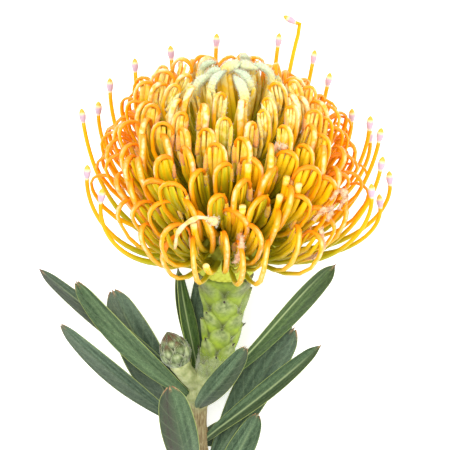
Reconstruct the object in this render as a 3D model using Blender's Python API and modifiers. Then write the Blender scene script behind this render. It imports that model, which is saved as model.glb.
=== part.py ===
"""A cut pincushion protea lying on its side: one flower head of many looped styles on a scaly
neck, a leafy stem and one side bud. Metres, +Z up, the surface that it lies on is Z = 0, +Y runs
from the cut end of the stem to the top of the flower, and +X is to the right of that."""

from math import cos, exp, pi, radians, sin, sqrt

import bmesh
import bpy
import numpy as np

MM = 0.001
GAP = 0.35 * MM  # between a piece and what carries it
UP = np.array([0.0, 0.0, 1.0])

# The flower head. Its own frame: x to the right, y down towards the surface, z along its axis.
HEAD_CENTRE = np.array([5.5, 31.0, 38.7]) * MM
HEAD_TILT = radians(23.0)  # the axis rises from the surface
HEAD_LEAN = radians(2.2)  # and leans to the right
TOP_REACH = 39.0 * MM  # from the centre to the outside of a looped style, at the top
SIDE_REACH = 44.5 * MM  # and at the widest
CORE_PROFILE = ((0, 17.5), (9, 15.5), (17, 8.5), (21, -2), (21, -12), (17, -22), (11, -29.5), (8.6, -34))
CORE_SIDES = 14

# The flowers of the head, on a spiral from its top to its foot.
GOLDEN_ANGLE = radians(137.50776)
FLOWERS = 106
CLOSED_FLOWERS = 13  # the youngest, round the top
LOWEST_LOOP = radians(101.0)  # angle from the axis
ROOT_REACH = 17.5 * MM  # from the core's middle to the roots of the flowers
ROOT_HEIGHT = -7.0 * MM  # the core's middle
ROOT_SPREAD = 1.35  # angle of a root over the angle of its loop
LOWEST_ROOT = radians(150.0)

# One flower: radii, and widths and depths along its parts, in mm.
STYLE_RADIUS = 1.0 * MM
STYLE_SIDES = 3
LOOP_RISE = 7.0 * MM  # how far the crook rises towards the top
LOOP_DEPTH = 9.0 * MM  # how far its tip returns inwards
LOOP_TWIST = radians(19.0)
OUTWARD_BEND = radians(24.0)  # a style leaves the core this much flatter than its loop
PERIANTH = ((1.6, 0.9), (2.1, 1.5), (1.1, 0.9))
CLOSED_TUBE = ((1.6, 1.2), (1.6, 1.2), (1.6, 1.2))
CLOSED_LIMB = ((1.4, 1.2), (2.0, 1.6), (1.7, 1.4), (0.6, 0.5))
FREE_STYLE = ((1.0, 1.0), (0.95, 0.95), (0.85, 0.85), (0.8, 0.8), (0.7, 0.7), (0.65, 0.65))
PRESENTER = ((0.7, 0.7), (1.3, 1.3), (1.1, 1.1), (0.4, 0.4))
PRESENTER_LENGTH = 5.6 * MM

# Flowers whose style has sprung free: degrees round the axis from the upper side, rise in mm.
FREE_REACH = 50.0 * MM  # from the axis to the tip of a freed style
FREE_POLAR = radians(112.0)
FREE_FLOWERS = (
    (-53, 6), (-62, 11), (-90, 19), (-120, 10), (-129, 15), (-140, 20), (-156, 22), (-174, 25),
    (162, 27), (153, 35), (148, 23), (137, 19), (127, 8), (115, 5), (110, 12), (92, 15),
    (84, 3), (76, -2), (68, 15), (63, 7),
)  # fmt: skip

PRESS_HEIGHT = 2.0 * MM  # styles this close to the surface are bent by it
FLAT = 0.6  # and lie on it at this share of their radius, cut flat

# The stem: places in mm from its cut end to below the neck, and radii up to the head's foot.
STEM_PLACES = ((-4.1, -85.0, 2.9), (-4.6, -68.0, 5.6), (-5.1, -54.0, 8.6), (-4.6, -42.0, 11.6), (0.4, -33.0, 14.6))
STEM_RADII = (2.9, 2.8, 2.9, 3.8, 4.2, 5.6, 7.8)
NECK_BELOW_HEAD = 19.0 * MM  # from here the neck points at the head
WOOD_RINGS = 9
NECK_RINGS = 25
STEM_SIDES = 24
NECK_START = 0.60  # share of the stem where its scales begin
SCALES_ROUND = 4  # in each row; the next row is turned by half a scale
SCALE_LENGTH = 0.115  # share of the stem, twice the distance between rows
SCALE_RISE = 1.8 * MM

# The side shoot, off the stem, and the bud at its tip.
SHOOT_START = 0.50  # share of the stem
SHOOT_TIP = np.array([-11.0, -33.2, 17.8]) * MM
SHOOT_RADIUS = 3.0 * MM
SHOOT_LEAD = 4.0 * MM
BUD_AXIS = np.array([-0.34, 0.90, 0.27])
BUD_LENGTH = 12.3 * MM
BUD_RADIUS = 5.0 * MM
BUD_RINGS = 15
BUD_SIDES = 16
BUD_SCALE_ROWS = 7
BUD_SCALE_RISE = 0.6 * MM

# Leaves: share up the stem, degrees round it from the upper side (right is +), how far the foot
# leads out, tip, bow (all in mm), half width in mm, roll in degrees, fold, teeth at the tip.
LEAVES = (
    ("leaf_a", 0.45, -112, 14, (-59.1, -1.8, 9.0), (0, -1, 0), 3.0, 0, 0.3, 1),
    ("leaf_b", 0.455, -68, 10, (-45.5, -4.6, 24.0), (-2, -4.5, -3.0), 4.0, 18, 0.3, 3),
    ("leaf_c", 0.27, -125, 14, (-34.4, -9.8, 4.0), (-2, -1, 0), 6.6, 0, 0.2, 3),
    ("leaf_d", 0.29, -80, 14, (-51.3, -20.2, 15.0), (-2, -2, 2), 3.6, 10, 0.3, 3),
    ("leaf_e", 0.08, -20, 14, (-14.1, -37.8, 38.0), (0, -3, 4), 5.2, 0, 0.25, 3),
    ("leaf_f", 0.41, 5, 8, (11.0, -25.5, 32.0), (0, -2, 4), 3.6, 0, 0.3, 3),
    ("leaf_g", 0.57, 118, 10, (41.4, 0.2, 15.0), (0, -1, 2), 2.7, -10, 0.35, 1),
    ("leaf_h", 0.13, 105, 10, (27.7, -22.4, 8.0), (-3, 2, 0), 6.2, 0, 0.15, 3),
    ("leaf_i", 0.25, 75, 8, (36.4, -26.1, 23.0), (1, -2, 0), 3.3, 25, 0.8, 1),
    ("leaf_j", 0.06, 70, 8, (15.2, -51.3, 13.0), (2, -2, -1), 4.2, 0, 0.3, 3),
    ("leaf_k", 0.20, 165, 6, (13.5, -56.0, 1.2), (0, -1, -1), 4.4, 0, 0.15, 3),
    ("leaf_l", 0.56, -118, 6, (-11.6, -1.8, 12.0), (-1, 0, 0), 2.6, -38, 0.3, 1),
    ("leaf_m", 0.44, 175, 6, (-1.0, 3.0, 6.0), (-1, 0, -2), 5.0, 0, 0.2, 3),
)  # fmt: skip
LEAF_ROWS = (0, 0.07, 0.16, 0.28, 0.42, 0.56, 0.70, 0.82, 0.91, 0.97, 1)
LEAF_COLUMNS = (-1.0, -0.5, 0.0, 0.5, 1.0)
LEAF_FOOT = 1.1 * MM  # half width where a leaf leaves the stem
LEAF_TOOTH = 0.8 * MM
BLADE_THICKNESS = 0.8 * MM


def clear_scene():
    for obj in list(bpy.data.objects):
        bpy.data.objects.remove(obj, do_unlink=True)


def make_collection(name):
    collection = bpy.data.collections.new(name)
    bpy.context.scene.collection.children.link(collection)
    return collection


def paint(objects, name, colour, roughness):
    """Gives the objects one material, of a colour and roughness."""
    material = bpy.data.materials.new(name)
    material.use_nodes = True
    shader = material.node_tree.nodes["Principled BSDF"]
    shader.inputs["Base Color"].default_value = (*colour, 1.0)
    shader.inputs["Roughness"].default_value = roughness
    shader.inputs["Metallic"].default_value = 0.0
    for obj in objects:
        obj.data.materials.clear()
        obj.data.materials.append(material)


def jitter(index, channel):
    """A repeatable number from -1 to 1 for each flower and purpose."""
    wave = sin(index * 12.9898 + channel * 78.233) * 43758.5453
    return 2.0 * (wave - wave // 1) - 1.0


def unit(vector):
    return vector / np.linalg.norm(vector)


def bezier(p0, p1, p2, p3, shares):
    """Points of a cubic curve at the given shares of its parameter."""
    t = np.asarray(shares)[:, None]
    return (1 - t) ** 3 * p0 + 3 * t * (1 - t) ** 2 * p1 + 3 * t * t * (1 - t) * p2 + t**3 * p3


def spline(points, shares):
    """A smooth curve through the points, at shares of its parameter from 0 to 1."""
    ends = np.vstack([2 * points[0] - points[1], points, 2 * points[-1] - points[-2]])
    place = np.asarray(shares) * (len(points) - 1)
    k = np.minimum(place.astype(int), len(points) - 2)
    t = (place - k)[:, None]
    a, b, c, d = ends[k], ends[k + 1], ends[k + 2], ends[k + 3]
    return b + 0.5 * t * (c - a + t * (2 * a - 5 * b + 4 * c - d + t * (3 * (b - c) + d - a)))


def head_axes():
    """Right, down and along the axis of the head, as rows."""
    along = np.array([sin(HEAD_LEAN), cos(HEAD_LEAN) * cos(HEAD_TILT), cos(HEAD_LEAN) * sin(HEAD_TILT)])
    down = unit(np.cross(along, [1.0, 0.0, 0.0]))
    return np.array([np.cross(down, along), down, along])


def press(points, radius):
    """Bends a centre line along the surface where it would pass through it."""
    rest = radius * FLAT
    out = points.copy()
    for point in out:
        height = point[2] - rest
        if height < PRESS_HEIGHT:
            point[2] = rest + PRESS_HEIGHT * exp((height - PRESS_HEIGHT) / PRESS_HEIGHT)
    return out


def loft(name, rings):
    """A closed mesh through rings of equally many points."""
    rings = np.asarray(rings)
    mesh = bmesh.new()
    verts = [[mesh.verts.new(point) for point in ring] for ring in rings]
    for low, high in zip(verts, verts[1:]):
        for k in range(len(low)):
            mesh.faces.new((low[k - 1], low[k], high[k], high[k - 1]))
    mesh.faces.new(verts[0])
    mesh.faces.new(reversed(verts[-1]))
    bmesh.ops.recalc_face_normals(mesh, faces=mesh.faces)
    data = bpy.data.meshes.new(name)
    mesh.to_mesh(data)
    mesh.free()
    return bpy.data.objects.new(name, data)


def sweep(name, path, sizes, side, sides):
    """A solid along a path. sizes holds each ring's half width, along side, and half depth."""
    tangents = np.gradient(path, axis=0)
    turns = (np.arange(sides) + 0.5) * 2 * pi / sides
    rings = []
    for point, tangent, (width, depth) in zip(path, tangents, sizes):
        normal = unit(np.cross(tangent, side))
        across = unit(np.cross(normal, tangent))
        rings.append([point + cos(a) * width * across + sin(a) * depth * normal for a in turns])
    return loft(name, rings)


def apply_boolean(target, name, operation, collection=None, other=None):
    """Joins a collection to a mesh, or cuts it with another, and removes what was used."""
    modifier = target.modifiers.new(name, "BOOLEAN")
    modifier.operation = operation
    modifier.solver = "EXACT"
    modifier.operand_type = "COLLECTION" if collection else "OBJECT"
    if collection:
        modifier.collection = collection
    else:
        modifier.object = other
    graph = bpy.context.evaluated_depsgraph_get()
    joined = bpy.data.meshes.new_from_object(target.evaluated_get(graph))
    target.modifiers.clear()
    target.data = joined
    for obj in list(collection.objects) if collection else [other]:
        bpy.data.objects.remove(obj, do_unlink=True)


def keep_largest_shell(obj):
    """Drops loose scraps, and fills hollows that the union sealed by dropping their walls."""
    mesh = bmesh.new()
    mesh.from_mesh(obj.data)
    left = set(mesh.verts)
    shells = []
    while left:
        shell, front = set(), [left.pop()]
        while front:
            vert = front.pop()
            shell.add(vert)
            near = {edge.other_vert(vert) for edge in vert.link_edges} & left
            left -= near
            front.extend(near)
        shells.append(shell)
    largest = max(shells, key=len)
    bmesh.ops.delete(mesh, geom=[v for v in mesh.verts if v not in largest], context="VERTS")
    mesh.to_mesh(obj.data)
    mesh.free()


class Flower:
    """One flower of the head: where it stands and the directions that its parts follow."""

    def __init__(self, index, azimuth, polar):
        self.index = index
        self.polar = polar
        self.outward = np.array([sin(azimuth), -cos(azimuth), 0.0])
        self.around = np.array([cos(azimuth), sin(azimuth), 0.0])
        self.ray = self.towards(polar)
        self.slope = cos(polar) * self.outward - sin(polar) * UP
        self.root = self.foot(polar)

    def towards(self, polar):
        return sin(polar) * self.outward + cos(polar) * UP

    def foot(self, polar):
        """A point just inside the core, below the place that the flower reaches."""
        turn = min(ROOT_SPREAD * polar, LOWEST_ROOT)
        return ROOT_REACH * sin(turn) * self.outward + (ROOT_HEIGHT + 1.15 * ROOT_REACH * cos(turn)) * UP


def looped_lines(flower):
    """The style, which bows out and ends in a crook, and the perianth that holds its tip."""
    i, ray = flower.index, flower.ray
    reach = TOP_REACH + (SIDE_REACH - TOP_REACH) * sin(min(flower.polar, pi / 2)) ** 2
    reach *= 1 + 0.03 * jitter(i, 1)
    twist = LOOP_TWIST * jitter(i, 2)
    grown = min(1.0, flower.polar / radians(50))
    rise = grown * LOOP_RISE
    inward = sin(twist) * flower.around - cos(twist) * flower.slope
    start = flower.towards(min(flower.polar + OUTWARD_BEND, radians(88)))
    out = reach * ray - 3 * MM * inward
    bow = out - 9 * MM * inward - 2 * MM * ray
    leg = bezier(flower.root, flower.root + 14 * MM * start, bow, out, (0, 0.55))
    tip = (reach - LOOP_DEPTH) * ray + 0.37 * rise * inward
    over = (reach - 2 * MM) * ray + rise * inward
    crook = bezier(out, out + 1.07 * rise * inward + 2 * MM * ray, over, tip, (0, 0.42, 0.72, 1))
    foot = flower.foot(0.9 * flower.polar)
    perianth = bezier(foot, foot + 8 * MM * ray, tip - 9 * MM * ray, tip + 1 * MM * ray, (0, 0.75, 1))
    return np.vstack([leg, crook]), perianth, np.cross(inward, ray)


def closed_lines(flower):
    """A young flower's tube, and its woolly limb, which is bent over the top of the head."""
    reach = TOP_REACH * (1 + 0.015 * jitter(flower.index, 1))
    ray = flower.ray
    bend = (reach - 3 * MM) * flower.towards(flower.polar + radians(7))
    tip = (reach - 0.5 * MM) * flower.towards(max(flower.polar - radians(11), radians(3)))
    tube = bezier(flower.root, flower.root + 12 * MM * ray, bend - 9 * MM * ray, bend, (0, 0.5, 1))
    near = tip + 4 * MM * flower.slope + 1.5 * MM * ray
    limb = bezier(bend - 2 * MM * ray, bend + 2.5 * MM * ray, near, tip, (0, 0.4, 0.8, 1))
    return tube, limb


def free_lines(flower, rise):
    """A freed style, which leaves the foot of the head flat and curves up, and its presenter."""
    reach = FREE_REACH + 2.5 * MM * jitter(flower.index, 1)
    tip = reach * flower.outward + rise * UP
    start = unit(flower.outward - 0.15 * UP)
    lean = unit(UP + 0.12 * flower.outward)
    near = tip - (16 * MM + 0.35 * rise) * lean
    style = bezier(flower.root, flower.root + 27 * MM * start, near, tip, np.linspace(0, 1, len(FREE_STYLE)))
    presenter = tip + np.outer(np.linspace(-0.18, 0.82, len(PRESENTER)) * PRESENTER_LENGTH, lean)
    return style, presenter


def build_head(parts, repeats):
    """The core, with every flower's style and perianth fused into it, cut flat below."""
    axes = head_axes()
    turns = np.arange(CORE_SIDES) * 2 * pi / CORE_SIDES
    rings = [[(max(r, 0.3) * cos(a), max(r, 0.3) * sin(a), z) for a in turns] for r, z in CORE_PROFILE]
    head = loft("flower_head", np.array(rings) * MM @ axes + HEAD_CENTRE)
    parts.objects.link(head)

    def add(name, path, sizes, side, sides):
        sizes = np.array(sizes) * MM
        line = press(path @ axes + HEAD_CENTRE, sizes.max())
        repeats.objects.link(sweep(name, line, sizes, side @ axes, sides))

    for i in range(FLOWERS):
        share = (i + 0.5) / FLOWERS
        flower = Flower(i, i * GOLDEN_ANGLE, np.arccos(1 - share * (1 - cos(LOWEST_LOOP))))
        if i < CLOSED_FLOWERS:
            tube, limb = closed_lines(flower)
            add(f"tube_{i}", tube, CLOSED_TUBE, flower.around, 4)
            add(f"limb_{i}", limb, CLOSED_LIMB, flower.around, 5)
        else:
            style, perianth, side = looped_lines(flower)
            thickness = STYLE_RADIUS / MM
            add(f"style_{i}", style, [(thickness, thickness)] * len(style), side, STYLE_SIDES)
            add(f"perianth_{i}", perianth, PERIANTH, side, 3)
    for k, (degrees, rise) in enumerate(FREE_FLOWERS):
        flower = Flower(FLOWERS + k, radians(degrees), FREE_POLAR)
        style, presenter = free_lines(flower, rise * MM)
        add(f"free_style_{k}", style, FREE_STYLE, flower.around, STYLE_SIDES)
        add(f"presenter_{k}", presenter, PRESENTER, flower.around, 4)
    apply_boolean(head, "fuse", "UNION", collection=repeats)
    corners = [(x, y) for x, y in ((-1, -1), (1, -1), (1, 1), (-1, 1))]
    surface = loft("surface", [[(0.2 * x, 0.2 * y, z) for x, y in corners] for z in (-0.05, 0.0)])
    repeats.objects.link(surface)
    apply_boolean(head, "flatten", "DIFFERENCE", other=surface)
    keep_largest_shell(head)
    return head


def frames(path):
    """Directions across a path, level, and square to both, upwards."""
    tangents = np.gradient(path, axis=0)
    across = np.cross(tangents, UP)
    across /= np.linalg.norm(across, axis=1)[:, None]
    normals = np.cross(across, tangents)
    return across, normals / np.linalg.norm(normals, axis=1)[:, None]


def stem_line(shares):
    """Centres and radii of the stem at shares of its length. It ends just short of the head."""
    foot = CORE_PROFILE[-1][1] * MM - GAP
    along = head_axes()[2]
    neck = [HEAD_CENTRE + along * (foot - NECK_BELOW_HEAD), HEAD_CENTRE + along * foot]
    places = np.vstack([np.array(STEM_PLACES) * MM, neck])
    return spline(places, shares), np.interp(shares, np.linspace(0, 1, len(STEM_RADII)), STEM_RADII) * MM


def scale_relief(rows, turn):
    """Height, from 0 to 1, of scales in rows: each is a rhomb that rises towards its tip and drops
    behind it. rows counts from the lowest row, and turn is the angle round the axis."""
    best = 0.0
    for k in (int(rows), int(rows) - 1):
        along = (rows - k) / 2
        column = turn / (2 * pi) * SCALES_ROUND + 0.5 * (k % 2)
        aside = 2 * abs(column - round(column))
        width = sin(pi * min(max(along, 0.03), 0.97)) ** 0.6
        if rows > 0 and aside < width:
            best = max(best, along * sqrt(1 - (aside / width) ** 2))
    return best


def ring(centre, radii, side, top, turns):
    """Points round a centre, one radius for each turn; turn 0 is the top."""
    return [centre + r * (sin(a) * side + cos(a) * top) for r, a in zip(radii, turns)]


def build_stem(parts, repeats):
    """The woody stem, its scaly neck and its side shoot, as one body."""
    wood = np.linspace(0, NECK_START, WOOD_RINGS)[:-1]
    shares = np.concatenate([wood, np.linspace(NECK_START, 1, NECK_RINGS)])
    path, radii = stem_line(shares)
    across, normals = frames(path)
    across[-1], normals[-1] = head_axes()[0], -head_axes()[1]
    turns = np.arange(STEM_SIDES) * 2 * pi / STEM_SIDES
    rings = []
    for share, centre, radius, side, top in zip(shares, path, radii, across, normals):
        rows = (share - NECK_START) / (SCALE_LENGTH / 2)
        around = [radius + SCALE_RISE * scale_relief(rows, a) for a in turns]
        rings.append(ring(centre, around, side, top, turns))
    stem = loft("stem", rings)
    parts.objects.link(stem)
    start = stem_line([SHOOT_START])[0][0]
    leave = start + SHOOT_LEAD * unit(SHOOT_TIP - start)
    line = bezier(start, leave, SHOOT_TIP - SHOOT_LEAD * unit(BUD_AXIS), SHOOT_TIP, (0, 0.35, 0.7, 1))
    shoot = sweep("shoot", line, [(SHOOT_RADIUS, SHOOT_RADIUS)] * 4, np.array([1.0, 0.0, 0.0]), 12)
    repeats.objects.link(shoot)
    apply_boolean(stem, "fuse", "UNION", collection=repeats)
    return stem


def build_bud(parts):
    """The side bud: an egg of overlapping scales, just off the tip of its shoot."""
    axis = unit(BUD_AXIS)
    side = unit(np.cross(axis, UP))
    top = np.cross(side, axis)
    turns = np.arange(BUD_SIDES) * 2 * pi / BUD_SIDES
    rings = []
    for share in np.linspace(0, 1, BUD_RINGS):
        radius = BUD_RADIUS * max(0.08, sin(pi * min(0.94 * share + 0.12, 1.0)) ** 0.7)
        centre = SHOOT_TIP + axis * (2 * GAP + BUD_LENGTH * share)
        rise = BUD_SCALE_RISE * min(1.0, 4 * share, 4 * (1 - share))
        around = [radius + rise * scale_relief(BUD_SCALE_ROWS * share, a) for a in turns]
        rings.append(ring(centre, around, side, top, turns))
    bud = loft("side_bud", rings)
    parts.objects.link(bud)
    return bud


def leaf_half_width(t, half_width):
    """A narrow foot, widest beyond the middle, and a blunt tip."""
    swell = sin(pi * min(1.0, t**1.35)) ** 0.7 if 0 < t < 1 else 0.0
    return LEAF_FOOT * (1 - t) + half_width * (0.93 * swell + 0.30 * t**6)


def leaf_path(share, degrees, lead, tip, bow):
    """The midrib's line, which starts clear of the stem's surface."""
    near, radii = stem_line([share - 0.01, share, share + 0.01])
    along = unit(near[2] - near[0])
    side = unit(np.cross(along, UP))
    out = sin(radians(degrees)) * side + cos(radians(degrees)) * np.cross(side, along)
    first = unit(out + 0.9 * along)
    corner = LEAF_FOOT * abs(unit(np.cross(first, UP)) @ out) + 0.5 * BLADE_THICKNESS
    foot = near[1] + (radii[1] + corner + GAP) * out
    tip = np.array(tip) * MM
    middle = tip - 0.45 * (tip - foot) + np.array(bow) * MM
    return bezier(foot, foot + lead * MM * first, middle, tip, LEAF_ROWS)


def build_leaf(parts, name, share, degrees, lead, tip, bow, half_width, roll, fold, teeth):
    """A folded blade from the stem to its toothed tip, as a surface that is then thickened."""
    path = leaf_path(share, degrees, lead, tip, bow)
    across, normals = frames(path)
    ahead = unit(path[-1] - path[-2])
    mesh = bmesh.new()
    grid = []
    for t, centre, side, up in zip(LEAF_ROWS, path, across, normals):
        half = leaf_half_width(t, half_width * MM)
        free = min(1.0, 5 * t)  # the foot is flat and level
        turn = radians(roll) * free
        side, up = cos(turn) * side + sin(turn) * up, cos(turn) * up - sin(turn) * side
        row = []
        for u in LEAF_COLUMNS:
            toothed = u == 0 or (teeth == 3 and abs(u) == 1)
            tooth = 0.0 if t < 1 else LEAF_TOOTH * (1.0 if toothed else -0.4)
            lift = fold * half * abs(u) ** 1.5 * free
            row.append(mesh.verts.new(centre + u * half * side + lift * up + tooth * ahead))
        grid.append(row)
    for low, high in zip(grid, grid[1:]):
        for k in range(len(LEAF_COLUMNS) - 1):
            mesh.faces.new((low[k], low[k + 1], high[k + 1], high[k]))
    bmesh.ops.triangulate(mesh, faces=mesh.faces)
    data = bpy.data.meshes.new(name)
    mesh.to_mesh(data)
    mesh.free()
    leaf = bpy.data.objects.new(name, data)
    parts.objects.link(leaf)
    blade = leaf.modifiers.new("blade", "SOLIDIFY")
    blade.thickness = BLADE_THICKNESS
    blade.offset = 0.0
    return leaf


def main():
    clear_scene()
    parts = make_collection("pincushion_protea")
    repeats = make_collection("repeats")
    head = build_head(parts, repeats)
    stem = build_stem(parts, repeats)
    bud = build_bud(parts)
    leaves = [build_leaf(parts, *row) for row in LEAVES]
    paint([head], "orange_style", (0.95, 0.48, 0.03), 0.35)
    paint([stem], "green_stem", (0.34, 0.45, 0.14), 0.6)
    paint([bud], "bud_scale", (0.30, 0.40, 0.20), 0.65)
    paint(leaves, "leaf_green", (0.10, 0.20, 0.10), 0.5)


main()
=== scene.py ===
"""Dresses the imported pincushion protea: fine styles, perianths and woolly limbs on the head, a
scaly neck, bark, a scaled bud and veined leaves, all in the frame's metres, lying on Z = 0."""

from collections import namedtuple
from math import cos, pi, radians, sin

import bpy
import numpy as np
from mathutils import Matrix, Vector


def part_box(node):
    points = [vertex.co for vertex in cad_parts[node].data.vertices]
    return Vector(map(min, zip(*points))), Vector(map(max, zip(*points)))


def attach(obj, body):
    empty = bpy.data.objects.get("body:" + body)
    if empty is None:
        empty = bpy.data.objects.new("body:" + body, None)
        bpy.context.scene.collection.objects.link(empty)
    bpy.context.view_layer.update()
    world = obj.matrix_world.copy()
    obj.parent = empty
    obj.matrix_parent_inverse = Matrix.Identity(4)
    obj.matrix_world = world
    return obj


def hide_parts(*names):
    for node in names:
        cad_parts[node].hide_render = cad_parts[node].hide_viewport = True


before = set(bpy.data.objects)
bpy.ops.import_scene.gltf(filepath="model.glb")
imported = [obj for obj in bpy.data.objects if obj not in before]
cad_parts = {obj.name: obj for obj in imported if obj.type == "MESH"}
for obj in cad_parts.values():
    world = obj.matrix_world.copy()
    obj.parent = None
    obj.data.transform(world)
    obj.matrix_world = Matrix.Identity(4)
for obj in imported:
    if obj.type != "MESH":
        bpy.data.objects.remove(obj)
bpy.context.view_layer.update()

bl_info = {
    "name": "Pincushion Protea",
    "version": (1, 0, 0),
    "blender": (4, 5, 0),
    "location": "3D View > Sidebar > Protea",
    "description": "Builds a cut pincushion protea piece by piece around its packed solids",
    "category": "Add Mesh",
}

MM = 0.001
UP = np.array([0.0, 0.0, 1.0])
RIGHT = np.array([1.0, 0.0, 0.0])
FLOOR_GAP = 0.02 * MM

# The head's own frame is x to the right, y down to the surface and z along its axis.
HEAD_MIDDLE = sum(np.array(corner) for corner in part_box("flower_head")) / 2
HEAD_CENTRE = HEAD_MIDDLE + np.array([-2.75, -9.73, -3.35]) * MM
HEAD_TILT = radians(23.0)
HEAD_LEAN = radians(2.2)

# The core: radius and height of its profile in mm, and the flower bases packed on it.
CORE_PROFILE = ((0, 17.5), (9, 15.5), (17, 8.5), (21, -2), (21, -12), (17, -22), (11, -29.5), (8.6, -34))
CORE_RINGS, CORE_POINTS = 60, 240
BASE_ROWS, BASES_ROUND, BASE_RISE = 18, 26, 0.9 * MM

# Where flowers grow: a spiral down to the lowest loop, and roots spread wider than the loops.
GOLDEN_ANGLE = radians(137.50776)
LOWEST_LOOP = radians(101.0)
ASTRAY = radians(2.2)
ROOT_RADIUS = 17.5 * MM
ROOT_HEIGHT = -7.0 * MM
ROOT_SPREAD = 1.35
LOWEST_ROOT = radians(150.0)

# Rings along the parts of a flower, and points round them.
LEG_ROWS, CROOK_ROWS, STYLE_SIDES = 6, 8, 6
LIMB_ROWS, LIMB_SIDES = 6, 6
STRAP_ROWS, STRAP_SIDES = 6, 6
CLOSED_ROWS, CLOSED_SIDES = 9, 8
CLOSED_LIMB_ROWS, CLOSED_LIMB_SIDES = 12, 12
FREE_ROWS, FREE_SIDES = 22, 9
PRESENTER_ROWS, PRESENTER_SIDES = 9, 12
CUT_ROWS, CUT_SIDES = 12, 8
WITHERED_ROWS, WITHERED_SIDES = 14, 8

# Young and grown looped flowers: polar angles in degrees between which they grow up, lean in
# degrees, and more on the lowest ones, and in mm the loop's width, the limb's length and the leg's
# bow below the loop.
GROWING = (26, 64)
LEAN, LOW_LEAN = (52, 44), 22
LOOP_WIDTH, LIMB_LENGTH, LEG_BOW = (3.8, 8.2), (6.0, 4.6), (8.0, 9.0)
LOW_LEG_BOW = 12.0  # on the lowest flowers
SIDE_TWIST, UPPER_TWIST, LOW_TWIST = (20, 20), (46, 26), (10, 12)  # degrees, and how far astray
FILLING_STRAPS = ((0.28, 0.3), (0.0, -0.3), (-0.28, 0.3))  # place across the loop, and mm to the side

# Half widths along a limb and a strap, as shares, and along a closed limb and a pollen presenter,
# in mm.
LIMB_SWELL = (0.5, 0.9, 1.0, 1.0, 0.95, 0.9)
STRAP_SWELL = (0.7, 0.85, 0.95, 1.0, 1.0, 0.7)
CLOSED_LIMB_SWELL = (1.1, 1.4, 1.5, 1.5, 1.5, 1.55, 1.6, 1.55, 1.4, 1.15, 0.85, 0.4)
PRESENTER_SWELL = (0.58, 0.68, 0.86, 1.04, 1.16, 1.16, 1.04, 0.74, 0.25)

# Hairs on each woolly piece.
LIMB_HAIRS, CLOSED_HAIRS, WITHERED_HAIRS, STEM_HAIRS, BUD_HAIRS = 9000, 13000, 1800, 7000, 700

# Freed styles: degrees round the axis from the upper side, and rise in mm.
FREE_POLAR = radians(112.0)
FREE_FLOWERS = (
    (-53, 6), (-62, 11), (-90, 19), (-120, 10), (-129, 15), (-140, 20), (-156, 22), (-174, 25),
    (162, 27), (153, 35), (148, 23), (137, 19), (127, 8), (115, 5), (110, 12), (92, 15),
    (84, 3), (76, -2), (68, 15), (63, 7),
)  # fmt: skip
HOOKED = 9  # the freed style that is bent over at its tip
FIRST_FREE, FIRST_CUT = 106, 400  # where the numbers of freed and cut styles start, for jitter()

# Ends of cut styles, and lines of withered perianths, as azimuth and polar angle in degrees and
# reach in mm. The first withered one is a broken style.
CUT_LEAN = radians(58)
CUT_STYLES = (
    (8, 57, 43), (32, 68, 43), (27, 64, 42), (22, 71, 43), (5, 74, 44), (-15, 83, 44), (-9, 101, 45),
)  # fmt: skip
WITHERED = (
    ((-22, 95, 45), (-20, 86, 46.2), (-13, 79, 46.6), (-5, 80, 45.6)),
    ((3, 107, 38), (4, 101, 42), (5, 94, 44), (5, 87, 44)),
    ((45, 116, 34), (43, 107, 42), (41, 97, 46), (39, 88, 46)),
    ((36, 84, 45), (39, 80, 47), (43, 80, 47), (42, 85, 46)),
    ((46, 78, 45), (49, 75, 47), (52, 78, 47), (50, 83, 45)),
    ((24, 52, 40), (26, 50, 42), (29, 51, 42), (30, 55, 40)),
)

# The stem: places in mm from its cut end to below the neck, and radii up to the head's foot.
# Places along it are shares of its length.
STEM_PLACES = (
    (-4.1, -85.0, 2.9), (-4.6, -68.0, 5.6), (-5.1, -54.0, 8.6), (-4.6, -42.0, 11.6), (0.4, -33.0, 14.6),
)  # fmt: skip
STEM_RADII = (2.9, 2.8, 2.9, 3.8, 4.2, 5.6, 7.8)
STEM_END = (CORE_PROFILE[-1][1] - 0.35) * MM
WOOD_RINGS, NECK_RINGS, STEM_POINTS = 120, 190, 128
CUT_FACE = (0.35, 0.75, 0.95)  # rings on the cut end, as shares of its radius
NECK_LENGTH = 19.0 * MM
NECK_START = 0.60
SCALE_ROWS, SCALES_ROUND = 6, 4
SCALE_LENGTH = 0.115
SCALE_POINT_SIDES = 8
STEM_STEPS = 400
FRESH_BARK = ((0.35, (0.27, 0.31, 0.11)), (0.65, (0.48, 0.50, 0.25)))

# The side shoot and the bud on it.
SHOOT_START = 0.50
SHOOT_TIP = np.array([-11.0, -33.2, 17.8]) * MM
SHOOT_LEAD = 4.0 * MM
SHOOT_RADIUS = 3.1
SHOOT_RINGS, SHOOT_POINTS = 40, 64
SCAR_PLACE = np.array([2.6, 1.0, 2.6]) * MM
BUD_LENGTH = 12.3 * MM
BUD_RADIUS = 4.8 * MM
BUD_SCALE_ROWS, BUD_SCALES_ROUND, BUD_SCALE_RISE = 4.0, 6, 0.9 * MM
BUD_RINGS, BUD_POINTS = 110, 144

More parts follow.
